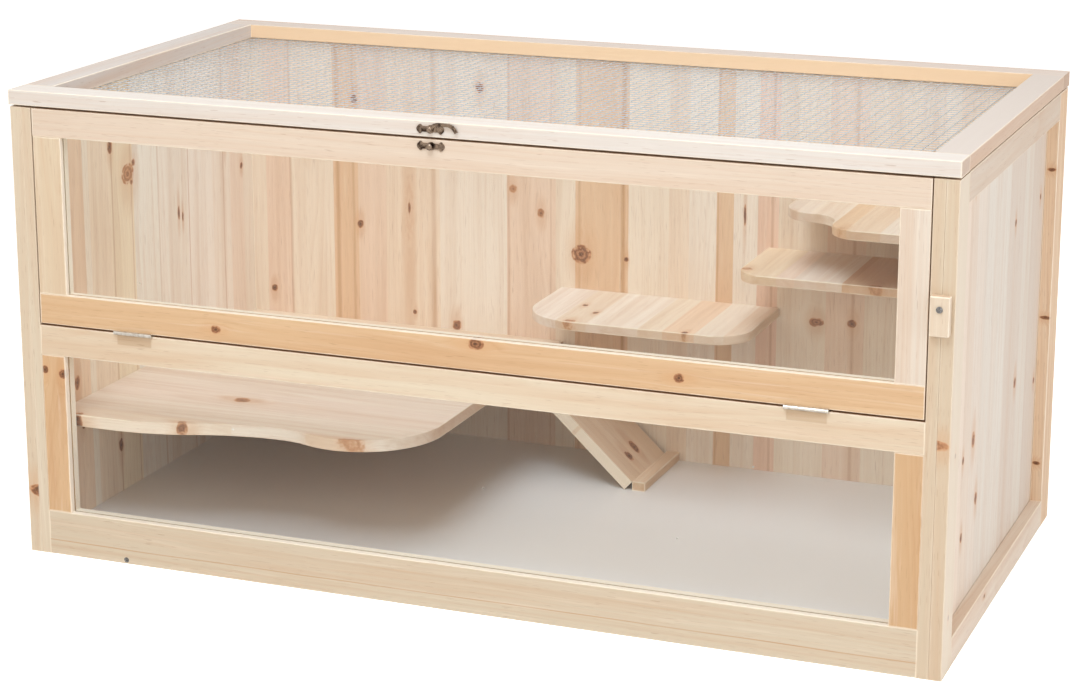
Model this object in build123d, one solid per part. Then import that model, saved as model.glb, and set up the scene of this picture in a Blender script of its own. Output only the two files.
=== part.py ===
"""Two-storey wooden hamster cage with a meshed lid and a drop-down glazed door.

Millimetres. X runs left to right, Y front to back, Z up. The origin is at the middle of
the underside, on the floor. Every separate piece is written to its own STEP file.
"""
from build123d import *
import math
import os

# ---------------------------------------------------------------- carcass
BODY_WIDTH = 1150.0             # outside, left to right
BODY_DEPTH = 590.0              # outside, front to back
BODY_HEIGHT = 560.0             # floor to the top of the walls
PANEL_THICKNESS = 13.0          # glued-up wall panels
STRIP_THICKNESS = 15.0          # frame strips glued on the outside of the panels
STILE_WIDTH = 45.0              # upright frame strips
STRIP_RAIL_HEIGHT = 34.0        # level frame strips
EASE = 0.7                      # softened long edges of the timber
SHELF_EDGE_RADIUS = 1.0         # rounded edges of shelves and platform

# ---------------------------------------------------------------- front frame, floor
FRONT_FRAME_DEPTH = 22.0
BOTTOM_RAIL_HEIGHT = 56.0
LOWER_WINDOW_HEIGHT = 200.0
MIDDLE_RAIL_HEIGHT = 37.0
LOWER_STILE_LEFT_WIDTH = 32.0
LOWER_STILE_RIGHT_WIDTH = 33.0
FLOOR_TOP = 25.0                # white floor surface above the table
FLOOR_THICKNESS = 10.0
BEARER_WIDTH = 30.0             # battens under the floor
BEARER_INSET = 107.0            # side walls to the middles of the outer bearers
PANE_THICKNESS = 3.0            # clear acrylic
PANE_GROOVE_DEPTH = 5.0
PANE_PLAY = 0.2                 # room round a pane in its groove
LOWER_PANE_SETBACK = 8.0        # frame front to pane front

# ---------------------------------------------------------------- door
DOOR_THICKNESS = 18.0
DOOR_SIDE_GAP = 1.5
DOOR_TOP_GAP = 0.4              # door top below the top of the walls
DOOR_TOP_RAIL_HEIGHT = 33.6
DOOR_BOTTOM_RAIL_HEIGHT = 37.6
DOOR_LEFT_STILE_WIDTH = 37.5
DOOR_RIGHT_STILE_WIDTH = 34.0
DOOR_PANE_SETBACK = 6.0

# ---------------------------------------------------------------- lid
LID_THICKNESS = 18.0
LID_OVERHANG = 1.0              # past the front and the sides
LID_RAIL_WIDTH = 38.0
WIRE_DIAMETER = 0.9
WIRE_PITCH = 12.7
MESH_MARGIN = 2.0               # walls to the ends of the wires
STAPLE_SPAN = 10.0
STAPLE_WIRE = 0.7
STAPLE_LEG = 8.0
STAPLE_OFFSET = 1.7             # outboard of the last wire
STAPLE_SPACING = 101.6

# ---------------------------------------------------------------- hinges
LEAF_THICKNESS = 1.1
LEAF_GAP = 0.2                  # between closed leaves
HINGE_LENGTH = 51.0
LEAF_DEPTH = 14.0               # from the pin into the joint
KNUCKLE_RADIUS = 2.4
KNUCKLE_GAP = 0.3
PIN_RADIUS = 1.1
RUNNING_CLEARANCE = 0.05        # every turning part on its pin
PIN_STANDOFF = 2.5              # pin in front of the timber's face
DOOR_HINGE_LEFT_X = -417.5
DOOR_HINGE_RIGHT_X = 415.5
LID_HINGE_X = 400.0
LEAF_SCREW_SPACING = 30.0
LEAF_SCREW_DEPTH = 9.0
LEAF_SCREW_LENGTH = 11.0
LEAF_SCREW_HEAD_RADIUS = 2.4
LEAF_SCREW_RADIUS = 1.3

# ---------------------------------------------------------------- screws and dowels
SCREW_RADIUS = 1.75
SCREW_HEAD_RADIUS = 3.4
SCREW_HEAD_HEIGHT = 2.0
RECESS_WIDTH = 0.7              # cross slot in a screw head
RECESS_REACH = 0.62             # share of the head's radius
RECESS_DEPTH = 0.9
PANEL_SCREW_LENGTH = 28.0       # shelves and cleats
BEARER_SCREW_LENGTH = 22.0
BEARER_SCREW_INSET = 60.0
RAIL_SCREW_LENGTH = 40.0
RAIL_SCREW_HEIGHT = 5.0
DOWEL_RADIUS = 3.0
DOWEL_LENGTH = 24.0
DOWEL_BITE = 10.0               # how deep a dowel enters a wall panel
FRAME_DOWEL_SETBACK = 6.5       # front frame's back face to its dowels
PANEL_DOWEL_INSET = 70.0        # back panel's ends to its outer dowels

# ---------------------------------------------------------------- platform, ramp
PLATFORM_TOP = 175.0
PLATFORM_THICKNESS = 15.0
PLATFORM_END_X = -83.0
PLATFORM_FRONT_GAP = 5.0        # behind the front frame, at the left wall
PLATFORM_FALL_RUN = 210.0       # the wavy front edge: first bend back, along X
PLATFORM_FALL = 40.0            # and how far back it goes
PLATFORM_RISE_RUN = 77.0        # second bend, towards the front again
PLATFORM_RISE = 14.0
NOSE_RADIUS = 100.0             # round front corner at the platform's free end
CLEAT_SIZE = 20.0
CLEAT_SETBACK = 68.0            # platform front to the end of the left cleat
CLEAT_END_GAP = 7.0
CLEAT_SCREW_INSET = 65.0
RAMP_ANGLE = 42.9
RAMP_WIDTH = 130.0
RAMP_THICKNESS = 15.0
RAMP_WALL_GAP = 10.0            # back wall to the ramp
STOP_WIDTH = 18.0               # batten at the ramp's foot
STOP_HEIGHT = 12.0
STOP_LENGTH = 140.0
STOP_GAP = 0.3

# ---------------------------------------------------------------- shelves
SHELF_THICKNESS = 12.0
SHELF_SCREW_SPACING = 150.0
LOW_SHELF_TOP = 250.0
LOW_SHELF_LEFT = -85.0
LOW_SHELF_RIGHT = 219.0
LOW_SHELF_DEPTH = 165.0
LOW_SHELF_LEFT_RADIUS = 72.0
LOW_SHELF_RIGHT_RADIUS = 48.0
MIDDLE_SHELF_TOP = 330.0
MIDDLE_SHELF_WIDTH = 344.0
MIDDLE_SHELF_DEPTH = 152.0
MIDDLE_SHELF_RADIUS = 36.0
HIGH_SHELF_TOP = 410.0
HIGH_SHELF_WIDTH = 292.0
HIGH_SHELF_DEPTH = 203.0
NECK_RADIUS = 42.0              # the top shelf's front: bend at its narrow left end
HOLLOW_RADIUS = 36.0            # hollow bend
FRONT_BEND_RADIUS = 38.0        # bend on to its straight front

# ---------------------------------------------------------------- turn button
BUTTON_WIDTH = 22.0
BUTTON_THICKNESS = 10.0
BUTTON_LONG_END = 30.0          # screw to the end that locks the door
BUTTON_SHORT_END = 14.0
BUTTON_HEIGHT = 421.5           # screw above the floor
BUTTON_GAP = 0.3
BUTTON_SCREW_RADIUS = 2.0
BUTTON_SCREW_LENGTH = 32.0
BUTTON_HEAD_RADIUS = 3.6
BUTTON_HEAD_HEIGHT = 1.8
BUTTON_EASE = 1.2

# ---------------------------------------------------------------- latch
LATCH_X = -27.0
LATCH_PIVOT_RISE = 9.1          # pivot above the lid's underside
KEEPER_DROP = 7.6               # knob below the door's top edge
LATCH_PLATE_THICKNESS = 1.2
LOBE_SPACING = 25.0
LOBE_RADIUS = 4.3
SCALLOP_RADIUS = 2.0
SCALLOP_OFFSET = 3.3
PLATE_BAR_HEIGHT = 6.5
PLATE_BOSS_RADIUS = 4.8
HOOK_THICKNESS = 1.5
HOOK_WIDTH = 4.0
HOOK_EYE_RADIUS = 3.8
HOOK_SHOULDER = 12.0            # pivot to the start of the straight arm
HOOK_STRAIGHT = 8.0
HOOK_CURL = 12.5                # end of the arm to the hook's tip
HOOK_OFFSET = 6.4               # arm to one side of the pivot
HOOK_TIP_DROP = 2.0             # tip to the other side
HOOK_SPACER = 1.0               # washer that holds the hook off its plate
HOOK_END_PLAY = 0.1
RIVET_RADIUS = 1.5
RIVET_HEAD_RADIUS = 3.0
RIVET_HEAD_HEIGHT = 1.3
RIVET_HEAD_ROUND = 1.0
KNOB_STEM_RADIUS = 2.2
KNOB_HEAD_RADIUS = 3.8
KNOB_HEAD_HEIGHT = 2.6
KNOB_HEAD_ROUND = 1.8
KNOB_SLACK = 0.5                # hook to the back of the knob's head
LATCH_SCREW_RADIUS = 1.0
LATCH_SCREW_HEAD_RADIUS = 2.0
LATCH_SCREW_HEAD_HEIGHT = 0.8
LATCH_SCREW_LENGTH = 9.0

# ---------------------------------------------------------------- planes worked out from the sizes
SIDE_X = BODY_WIDTH / 2
PANEL_X = SIDE_X - STRIP_THICKNESS
INNER_X = PANEL_X - PANEL_THICKNESS
FRONT_Y = -BODY_DEPTH / 2
BACK_Y = BODY_DEPTH / 2
BACK_PANEL_Y = BACK_Y - STRIP_THICKNESS
INNER_BACK_Y = BACK_PANEL_Y - PANEL_THICKNESS
FRAME_BACK_Y = FRONT_Y + FRONT_FRAME_DEPTH
BEARER_HEIGHT = FLOOR_TOP - FLOOR_THICKNESS

JOINT_GAP = 2 * LEAF_THICKNESS + LEAF_GAP
MIDDLE_RAIL_BOTTOM = BOTTOM_RAIL_HEIGHT + LOWER_WINDOW_HEIGHT
MIDDLE_RAIL_TOP = MIDDLE_RAIL_BOTTOM + MIDDLE_RAIL_HEIGHT
LOWER_WINDOW_LEFT = -INNER_X + LOWER_STILE_LEFT_WIDTH
LOWER_WINDOW_RIGHT = INNER_X - LOWER_STILE_RIGHT_WIDTH
LOWER_PANE_Y = FRONT_Y + LOWER_PANE_SETBACK

DOOR_X = INNER_X - DOOR_SIDE_GAP
DOOR_BOTTOM = MIDDLE_RAIL_TOP + JOINT_GAP
DOOR_TOP = BODY_HEIGHT - DOOR_TOP_GAP
DOOR_BACK_Y = FRONT_Y + DOOR_THICKNESS
DOOR_WINDOW_LEFT = -DOOR_X + DOOR_LEFT_STILE_WIDTH
DOOR_WINDOW_RIGHT = DOOR_X - DOOR_RIGHT_STILE_WIDTH
DOOR_WINDOW_BOTTOM = DOOR_BOTTOM + DOOR_BOTTOM_RAIL_HEIGHT
DOOR_WINDOW_TOP = DOOR_TOP - DOOR_TOP_RAIL_HEIGHT
DOOR_PANE_Y = FRONT_Y + DOOR_PANE_SETBACK

LID_BOTTOM = BODY_HEIGHT + JOINT_GAP
LID_TOP = LID_BOTTOM + LID_THICKNESS
LID_X = SIDE_X + LID_OVERHANG
LID_FRONT_Y = FRONT_Y - LID_OVERHANG
LID_RAIL_INNER_X = LID_X - LID_RAIL_WIDTH
LID_FRONT_INNER_Y = LID_FRONT_Y + LID_RAIL_WIDTH
LID_REAR_INNER_Y = BACK_Y - LID_RAIL_WIDTH
MESH_X = INNER_X - MESH_MARGIN
MESH_FRONT_Y = DOOR_BACK_Y + MESH_MARGIN
MESH_REAR_Y = INNER_BACK_Y - MESH_MARGIN

PLATFORM_BOTTOM = PLATFORM_TOP - PLATFORM_THICKNESS
PLATFORM_FRONT_Y = FRAME_BACK_Y + PLATFORM_FRONT_GAP
RAMP_REAR_Y = INNER_BACK_Y - RAMP_WALL_GAP
MIDDLE_SHELF_LEFT = INNER_X - MIDDLE_SHELF_WIDTH
HIGH_SHELF_LEFT = INNER_X - HIGH_SHELF_WIDTH

DOOR_AXIS_Z = MIDDLE_RAIL_TOP + JOINT_GAP / 2
DOOR_AXIS_Y = FRONT_Y - PIN_STANDOFF
LID_AXIS_Z = BODY_HEIGHT + JOINT_GAP / 2
LID_AXIS_Y = BACK_Y + PIN_STANDOFF
LATCH_PIVOT_Z = LID_BOTTOM + LATCH_PIVOT_RISE
KEEPER_Z = DOOR_TOP - KEEPER_DROP
LID_PLATE_FRONT_Y = LID_FRONT_Y - LATCH_PLATE_THICKNESS
KEEPER_PLATE_FRONT_Y = FRONT_Y - LATCH_PLATE_THICKNESS
HOOK_BACK_Y = LID_PLATE_FRONT_Y - HOOK_SPACER - HOOK_END_PLAY
HOOK_FRONT_Y = HOOK_BACK_Y - HOOK_THICKNESS
BUTTON_BACK_Y = FRONT_Y - BUTTON_GAP
BUTTON_FRONT_Y = BUTTON_BACK_Y - BUTTON_THICKNESS

# Ways that a fastener points; unturned, it points down.
TO_BACK = Rot(90, 0, 0)
TO_FRONT = Rot(-90, 0, 0)
TO_LEFT = Rot(0, 90, 0)
TO_RIGHT = Rot(0, -90, 0)
UPWARDS = Rot(180, 0, 0)
ALONG_X = Rot(0, 90, 0)
ALONG_Y = Rot(90, 0, 0)
UPRIGHT = Rot(0, 0, 0)


# ---------------------------------------------------------------- making tools
def block(x, y, z):
    """A plain block between three pairs of planes."""
    centre = Pos((x[0] + x[1]) / 2, (y[0] + y[1]) / 2, (z[0] + z[1]) / 2)
    return centre * Box(x[1] - x[0], y[1] - y[0], z[1] - z[0])


def timber(x, y, z, grain):
    """A block whose edges along the grain are softened."""
    body = block(x, y, z)
    return chamfer(body.edges().filter_by(grain), EASE)


def on_side(side, low, high):
    """The same two distances from the middle, on the left (-1) or on the right (1)."""
    return sorted((side * low, side * high))


def cut(body, tools):
    """The body with every tool's room taken out of it."""
    for tool in tools:
        body = body - tool
    return body


def group(solids):
    return Compound(children=[solid.solid() for solid in solids])


def save(name, shape):
    export_step(shape, "parts/" + name + ".step")


def screw_blank(length, radius, head_radius, head_height):
    """A countersunk screw with a plain head, its face at the origin, pointing down."""
    head = Pos(0, 0, -head_height / 2) * Cone(radius, head_radius, head_height)
    shank_length = length - head_height
    shank = Pos(0, 0, -head_height - shank_length / 2) * Cylinder(radius, shank_length)
    return head + shank


def cross_recess(head_radius, depth):
    """The cross slot in the top of a screw head."""
    reach = 2 * RECESS_REACH * head_radius
    bar = Box(reach, RECESS_WIDTH, 2 * depth)
    return bar + Rot(0, 0, 90) * bar


class Screws:
    """Alike screws: the solids themselves, and the plain rooms that they fill."""

    def __init__(self, places, length, radius, head_radius, head_height):
        blank = screw_blank(length, radius, head_radius, head_height)
        depth = min(RECESS_DEPTH, head_height / 2)
        screw = blank - cross_recess(head_radius, depth)
        self.rooms = [place * blank for place in places]
        self.solids = [place * screw for place in places]


def wood_screws(places, length):
    return Screws(places, length, SCREW_RADIUS, SCREW_HEAD_RADIUS, SCREW_HEAD_HEIGHT)


def dowels(places):
    return [place * Cylinder(DOWEL_RADIUS, DOWEL_LENGTH) for place in places]


# ---------------------------------------------------------------- hinges
def knuckle_spans():
    """The X spans of the hinge's three knuckles: outer, middle, outer."""
    third = (HINGE_LENGTH - 2 * KNUCKLE_GAP) / 3
    starts = [-HINGE_LENGTH / 2 + index * (third + KNUCKLE_GAP) for index in range(3)]
    return [(start, start + third) for start in starts]


def hinge_leaf(spans, side, bore_radius):
    """A leaf below (-1) or above (1) the joint's middle plane, with its rolled knuckles."""
    z = on_side(side, LEAF_GAP / 2, LEAF_GAP / 2 + LEAF_THICKNESS)
    root_y = KNUCKLE_RADIUS + KNUCKLE_GAP
    leaf = block((-HINGE_LENGTH / 2, HINGE_LENGTH / 2), (root_y, LEAF_DEPTH), z)
    for start, end in spans:
        leaf += block((start, end), (0, root_y), z)
        middle = Pos((start + end) / 2, 0, 0) * ALONG_X
        leaf += middle * Cylinder(KNUCKLE_RADIUS, end - start)
    return leaf - ALONG_X * Cylinder(bore_radius, HINGE_LENGTH)


class Hinges:
    """Hinges at the given places: leaves, pins and screws, fixed side and moving side."""

    def __init__(self, places):
        outer_left, middle, outer_right = knuckle_spans()
        fixed = hinge_leaf([outer_left, outer_right], -1, PIN_RADIUS)
        moving = hinge_leaf([middle], 1, PIN_RADIUS + RUNNING_CLEARANCE)
        pin = ALONG_X * Cylinder(PIN_RADIUS, HINGE_LENGTH)
        half = LEAF_SCREW_SPACING / 2
        down = [Pos(x, LEAF_SCREW_DEPTH, -LEAF_GAP / 2) for x in (-half, half)]
        up = [Pos(x, LEAF_SCREW_DEPTH, LEAF_GAP / 2) * UPWARDS for x in (-half, half)]
        self.fixed_screws = self.screws([place * spot for place in places for spot in down])
        self.moving_screws = self.screws([place * spot for place in places for spot in up])
        self.fixed = [cut(place * fixed, self.fixed_screws.rooms) for place in places]
        self.moving = [cut(place * moving, self.moving_screws.rooms) for place in places]
        self.pins = [place * pin for place in places]

    def screws(self, places):
        return Screws(places, LEAF_SCREW_LENGTH, LEAF_SCREW_RADIUS,
                      LEAF_SCREW_HEAD_RADIUS, LEAF_THICKNESS)


# ---------------------------------------------------------------- what joins the carcass
def carcass_dowels():
    """Dowels that join the front frame and the back panel to the side panels."""
    frame_y = FRAME_BACK_Y - FRAME_DOWEL_SETBACK
    back_y = (INNER_BACK_Y + BACK_PANEL_Y) / 2
    rail_heights = [BOTTOM_RAIL_HEIGHT / 2, (MIDDLE_RAIL_BOTTOM + MIDDLE_RAIL_TOP) / 2]
    panel_heights = [PANEL_DOWEL_INSET, BODY_HEIGHT / 2, BODY_HEIGHT - PANEL_DOWEL_INSET]
    places = []
    for side in (-1, 1):
        x = side * (INNER_X + DOWEL_BITE - DOWEL_LENGTH / 2)
        places += [Pos(x, frame_y, z) * ALONG_X for z in rail_heights]
        places += [Pos(x, back_y, z) * ALONG_X for z in panel_heights]
    for x in stile_centres(LOWER_WINDOW_LEFT, LOWER_WINDOW_RIGHT, INNER_X):
        places += [Pos(x, frame_y, z) for z in (BOTTOM_RAIL_HEIGHT, MIDDLE_RAIL_BOTTOM)]
    return dowels(places)


def stile_centres(window_left, window_right, half_width):
    """Middles of the two stiles beside a window."""
    return [(window_left - half_width) / 2, (window_right + half_width) / 2]


def cleat_screws():
    """Screws that hold the platform's cleats to the left wall and the back wall."""
    z = PLATFORM_BOTTOM - CLEAT_SIZE / 2
    left_x = -INNER_X + CLEAT_SIZE
    back_y = INNER_BACK_Y - CLEAT_SIZE
    places = [Pos(left_x, y, z) * TO_LEFT for y in cleat_screw_spots(left_cleat_y())]
    places += [Pos(x, back_y, z) * TO_BACK for x in cleat_screw_spots(back_cleat_x())]
    return places


def cleat_screw_spots(span):
    """Three screw places along a cleat."""
    start, end = span
    return [start + CLEAT_SCREW_INSET, (start + end) / 2, end - CLEAT_SCREW_INSET]


def left_cleat_y():
    return (PLATFORM_FRONT_Y + CLEAT_SETBACK, INNER_BACK_Y)


def back_cleat_x():
    return (-INNER_X + CLEAT_SIZE, PLATFORM_END_X - CLEAT_END_GAP)


def shelf_screws():
    """Screws driven from behind through the back panel into the shelves."""
    shelves = [
        ((LOW_SHELF_LEFT + LOW_SHELF_RIGHT) / 2, LOW_SHELF_TOP),
        ((MIDDLE_SHELF_LEFT + INNER_X) / 2, MIDDLE_SHELF_TOP),
        ((HIGH_SHELF_LEFT + INNER_X) / 2, HIGH_SHELF_TOP),
    ]
    places = []
    for middle, top in shelves:
        for side in (-1, 1):
            x = middle + side * SHELF_SCREW_SPACING / 2
            places.append(Pos(x, BACK_PANEL_Y, top - SHELF_THICKNESS / 2) * TO_FRONT)
    return places


def bearer_screws():
    """Screws driven up through each bearer into the floor board."""
    places = []
    for x in bearer_middles():
        for y in (FRAME_BACK_Y + BEARER_SCREW_INSET, INNER_BACK_Y - BEARER_SCREW_INSET):
            places.append(Pos(x, y, 0) * UPWARDS)
    return places


def bearer_middles():
    outer_x = INNER_X - BEARER_INSET
    return (-outer_x, 0, outer_x)


# ---------------------------------------------------------------- walls
def save_side_walls(rooms):
    """Glued-up side panels with the frame of strips on their outer faces."""
    between = (FRONT_Y + STILE_WIDTH, BACK_Y - STILE_WIDTH)
    top_rails = []
    bottom_rails = []
    for name, side in (("left", -1), ("right", 1)):
        x = on_side(side, PANEL_X, SIDE_X)
        panel = block(on_side(side, INNER_X, PANEL_X), (FRONT_Y, BACK_Y), (0, BODY_HEIGHT))
        save("side_panel_" + name, cut(panel, rooms))
        front = timber(x, (FRONT_Y, FRONT_Y + STILE_WIDTH), (0, BODY_HEIGHT), Axis.Z)
        save("side_stile_front_" + name, cut(front, rooms))
        rear = timber(x, (BACK_Y - STILE_WIDTH, BACK_Y), (0, BODY_HEIGHT), Axis.Z)
        save("side_stile_rear_" + name, rear)
        top_z = (BODY_HEIGHT - STRIP_RAIL_HEIGHT, BODY_HEIGHT)
        top_rails.append(timber(x, between, top_z, Axis.Y))
        bottom_rails.append(timber(x, between, (0, STRIP_RAIL_HEIGHT), Axis.Y))
    save("side_top_rails", group(top_rails))
    save("side_bottom_rails", group(bottom_rails))


def save_back_wall(rooms):
    """Back panel with its frame of strips."""
    y = (BACK_PANEL_Y, BACK_Y)
    panel = block((-INNER_X, INNER_X), (INNER_BACK_Y, BACK_PANEL_Y), (0, BODY_HEIGHT))
    save("back_panel", cut(panel, rooms))
    stile_inner_x = INNER_X - STILE_WIDTH
    for name, side in (("left", -1), ("right", 1)):
        stile = timber(on_side(side, stile_inner_x, INNER_X), y, (0, BODY_HEIGHT), Axis.Z)
        save("back_stile_" + name, stile)
    between = (-stile_inner_x, stile_inner_x)
    top = timber(between, y, (BODY_HEIGHT - STRIP_RAIL_HEIGHT, BODY_HEIGHT), Axis.X)
    save("back_top_rail", cut(top, rooms))
    save("back_bottom_rail", timber(between, y, (0, STRIP_RAIL_HEIGHT), Axis.X))


def save_front_frame(rooms):
    """Rails and stiles round the lower window, grooved for its pane."""
    y = (FRONT_Y, FRAME_BACK_Y)
    full = (-INNER_X, INNER_X)
    window_z = (BOTTOM_RAIL_HEIGHT, MIDDLE_RAIL_BOTTOM)
    pane_y = (LOWER_PANE_Y, LOWER_PANE_Y + PANE_THICKNESS)
    window_x = (LOWER_WINDOW_LEFT, LOWER_WINDOW_RIGHT)
    save("lower_pane", pane(window_x, pane_y, window_z, 0))
    rooms = rooms + [pane(window_x, pane_y, window_z, PANE_PLAY)]
    save("front_bottom_rail", cut(timber(full, y, (0, BOTTOM_RAIL_HEIGHT), Axis.X), rooms))
    middle = timber(full, y, (MIDDLE_RAIL_BOTTOM, MIDDLE_RAIL_TOP), Axis.X)
    save("middle_rail", cut(middle, rooms))
    left = timber((-INNER_X, LOWER_WINDOW_LEFT), y, window_z, Axis.Z)
    save("lower_stile_left", cut(left, rooms))
    right = timber((LOWER_WINDOW_RIGHT, INNER_X), y, window_z, Axis.Z)
    save("lower_stile_right", cut(right, rooms))


def pane(window_x, y, window_z, play):
    """A pane let into the groove all round its window, or with play, the groove's room."""
    reach = PANE_GROOVE_DEPTH + play
    x = (window_x[0] - reach, window_x[1] + reach)
    z = (window_z[0] - reach, window_z[1] + reach)
    return block(x, (y[0] - play, y[1] + play), z)


def save_floor(rooms):
    """White-faced floor board on three bearers."""
    y = (FRAME_BACK_Y, INNER_BACK_Y)
    floor = block((-INNER_X, INNER_X), y, (BEARER_HEIGHT, FLOOR_TOP))
    save("floor_board", cut(floor, rooms))
    bearers = []
    for x in bearer_middles():
        ends = (x - BEARER_WIDTH / 2, x + BEARER_WIDTH / 2)
        bearers.append(cut(block(ends, y, (0, BEARER_HEIGHT)), rooms))
    save("floor_bearers", group(bearers))


# ---------------------------------------------------------------- platform and ramp
def s_curve(start, end):
    """Two like arcs that leave one level line and join another."""
    middle = ((start[0] + end[0]) / 2, (start[1] + end[1]) / 2)
    first = TangentArc(start, middle, tangent=(1, 0))
    return first + TangentArc(middle, end, tangent=first % 1)


def save_platform(rooms):
    """Platform with a wavy front edge, on two cleats."""
    front_y = PLATFORM_FRONT_Y
    nose_x = PLATFORM_END_X - NOSE_RADIUS
    crest = (nose_x - PLATFORM_RISE_RUN, front_y + PLATFORM_FALL)
    fall_start = (crest[0] - PLATFORM_FALL_RUN, front_y)
    nose = (nose_x, crest[1] - PLATFORM_RISE)
    nose_end = (PLATFORM_END_X, nose[1] + NOSE_RADIUS)
    corner = (-INNER_X, front_y)
    front = Line(corner, fall_start) + s_curve(fall_start, crest) + s_curve(crest, nose)
    front += CenterArc((nose_x, nose_end[1]), NOSE_RADIUS, -90, 90)
    rear = Polyline(nose_end, (PLATFORM_END_X, INNER_BACK_Y), (-INNER_X, INNER_BACK_Y), corner)
    platform = extrude(make_face(front + rear), PLATFORM_THICKNESS)
    platform = fillet(platform.edges().filter_by(Plane.XY), SHELF_EDGE_RADIUS)
    save("platform", Pos(0, 0, PLATFORM_BOTTOM) * platform)
    z = (PLATFORM_BOTTOM - CLEAT_SIZE, PLATFORM_BOTTOM)
    left = timber((-INNER_X, -INNER_X + CLEAT_SIZE), left_cleat_y(), z, Axis.Y)
    back = timber(back_cleat_x(), (INNER_BACK_Y - CLEAT_SIZE, INNER_BACK_Y), z, Axis.X)
    save("platform_cleats", group([cut(left, rooms), cut(back, rooms)]))


def save_ramp():
    """Sloping board from the platform's end to the floor, with the batten that stops it."""
    slope = math.radians(RAMP_ANGLE)
    drop = RAMP_THICKNESS / math.cos(slope)
    foot_x = PLATFORM_END_X + (PLATFORM_TOP - drop - FLOOR_TOP) / math.tan(slope)
    toe_x = foot_x + RAMP_THICKNESS * math.sin(slope)
    toe_z = FLOOR_TOP + RAMP_THICKNESS * math.cos(slope)
    side = Polyline(
        (PLATFORM_END_X, PLATFORM_TOP),
        (toe_x, toe_z),
        (foot_x, FLOOR_TOP),
        (PLATFORM_END_X, PLATFORM_TOP - drop),
        close=True,
    )
    profile = Plane.XZ * make_face(side)
    ramp = Pos(0, RAMP_REAR_Y, 0) * extrude(profile, RAMP_WIDTH)
    save("ramp", ramp)
    stop_x = toe_x + STOP_GAP
    stop_y = (INNER_BACK_Y - STOP_LENGTH, INNER_BACK_Y)
    stop_z = (FLOOR_TOP, FLOOR_TOP + STOP_HEIGHT)
    save("ramp_stop_batten", timber((stop_x, stop_x + STOP_WIDTH), stop_y, stop_z, Axis.Y))


# ---------------------------------------------------------------- shelves
def save_shelf(name, outline, top, rooms):
    """A shelf board of the given outline, its top at the given height."""
    shelf = extrude(outline, SHELF_THICKNESS)
    shelf = fillet(shelf.edges().filter_by(Plane.XY), SHELF_EDGE_RADIUS)
    save(name, cut(Pos(0, 0, top - SHELF_THICKNESS) * shelf, rooms))


def shelf_face(left, right, depth):
    middle = Pos((left + right) / 2, INNER_BACK_Y - depth / 2)
    return middle * Rectangle(right - left, depth)


def save_shelves(rooms):
    """Three shelves that step up to the right along the back wall."""
    low = shelf_face(LOW_SHELF_LEFT, LOW_SHELF_RIGHT, LOW_SHELF_DEPTH)
    low = fillet(low.vertices().sort_by(Axis.Y)[:2].sort_by(Axis.X)[0], LOW_SHELF_LEFT_RADIUS)
    corner = low.vertices().sort_by(Axis.X)[-2:].sort_by(Axis.Y)[0]
    low = fillet(corner, LOW_SHELF_RIGHT_RADIUS)
    save_shelf("shelf_low", low, LOW_SHELF_TOP, rooms)

    middle = shelf_face(MIDDLE_SHELF_LEFT, INNER_X, MIDDLE_SHELF_DEPTH)
    corner = middle.vertices().sort_by(Axis.Y)[:2].sort_by(Axis.X)[0]
    save_shelf("shelf_middle", fillet(corner, MIDDLE_SHELF_RADIUS), MIDDLE_SHELF_TOP, rooms)

    save_shelf("shelf_high", high_shelf_outline(), HIGH_SHELF_TOP, rooms)


def high_shelf_outline():
    """The top shelf, its front stepping in two bends from a narrow left end to its full depth."""
    left = HIGH_SHELF_LEFT
    front_y = INNER_BACK_Y - HIGH_SHELF_DEPTH
    hollow_y = front_y + FRONT_BEND_RADIUS
    neck_y = hollow_y + HOLLOW_RADIUS + NECK_RADIUS
    neck_x = left + NECK_RADIUS
    front_x = neck_x + HOLLOW_RADIUS + FRONT_BEND_RADIUS
    front = CenterArc((neck_x, neck_y), NECK_RADIUS, 180, 90)
    front += CenterArc((neck_x, hollow_y), HOLLOW_RADIUS, 90, -90)
    front += CenterArc((front_x, hollow_y), FRONT_BEND_RADIUS, 180, 90)
    rest = Polyline(
        (front_x, front_y),
        (INNER_X, front_y),
        (INNER_X, INNER_BACK_Y),
        (left, INNER_BACK_Y),
        (left, neck_y),
    )
    return make_face(front + rest)


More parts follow.
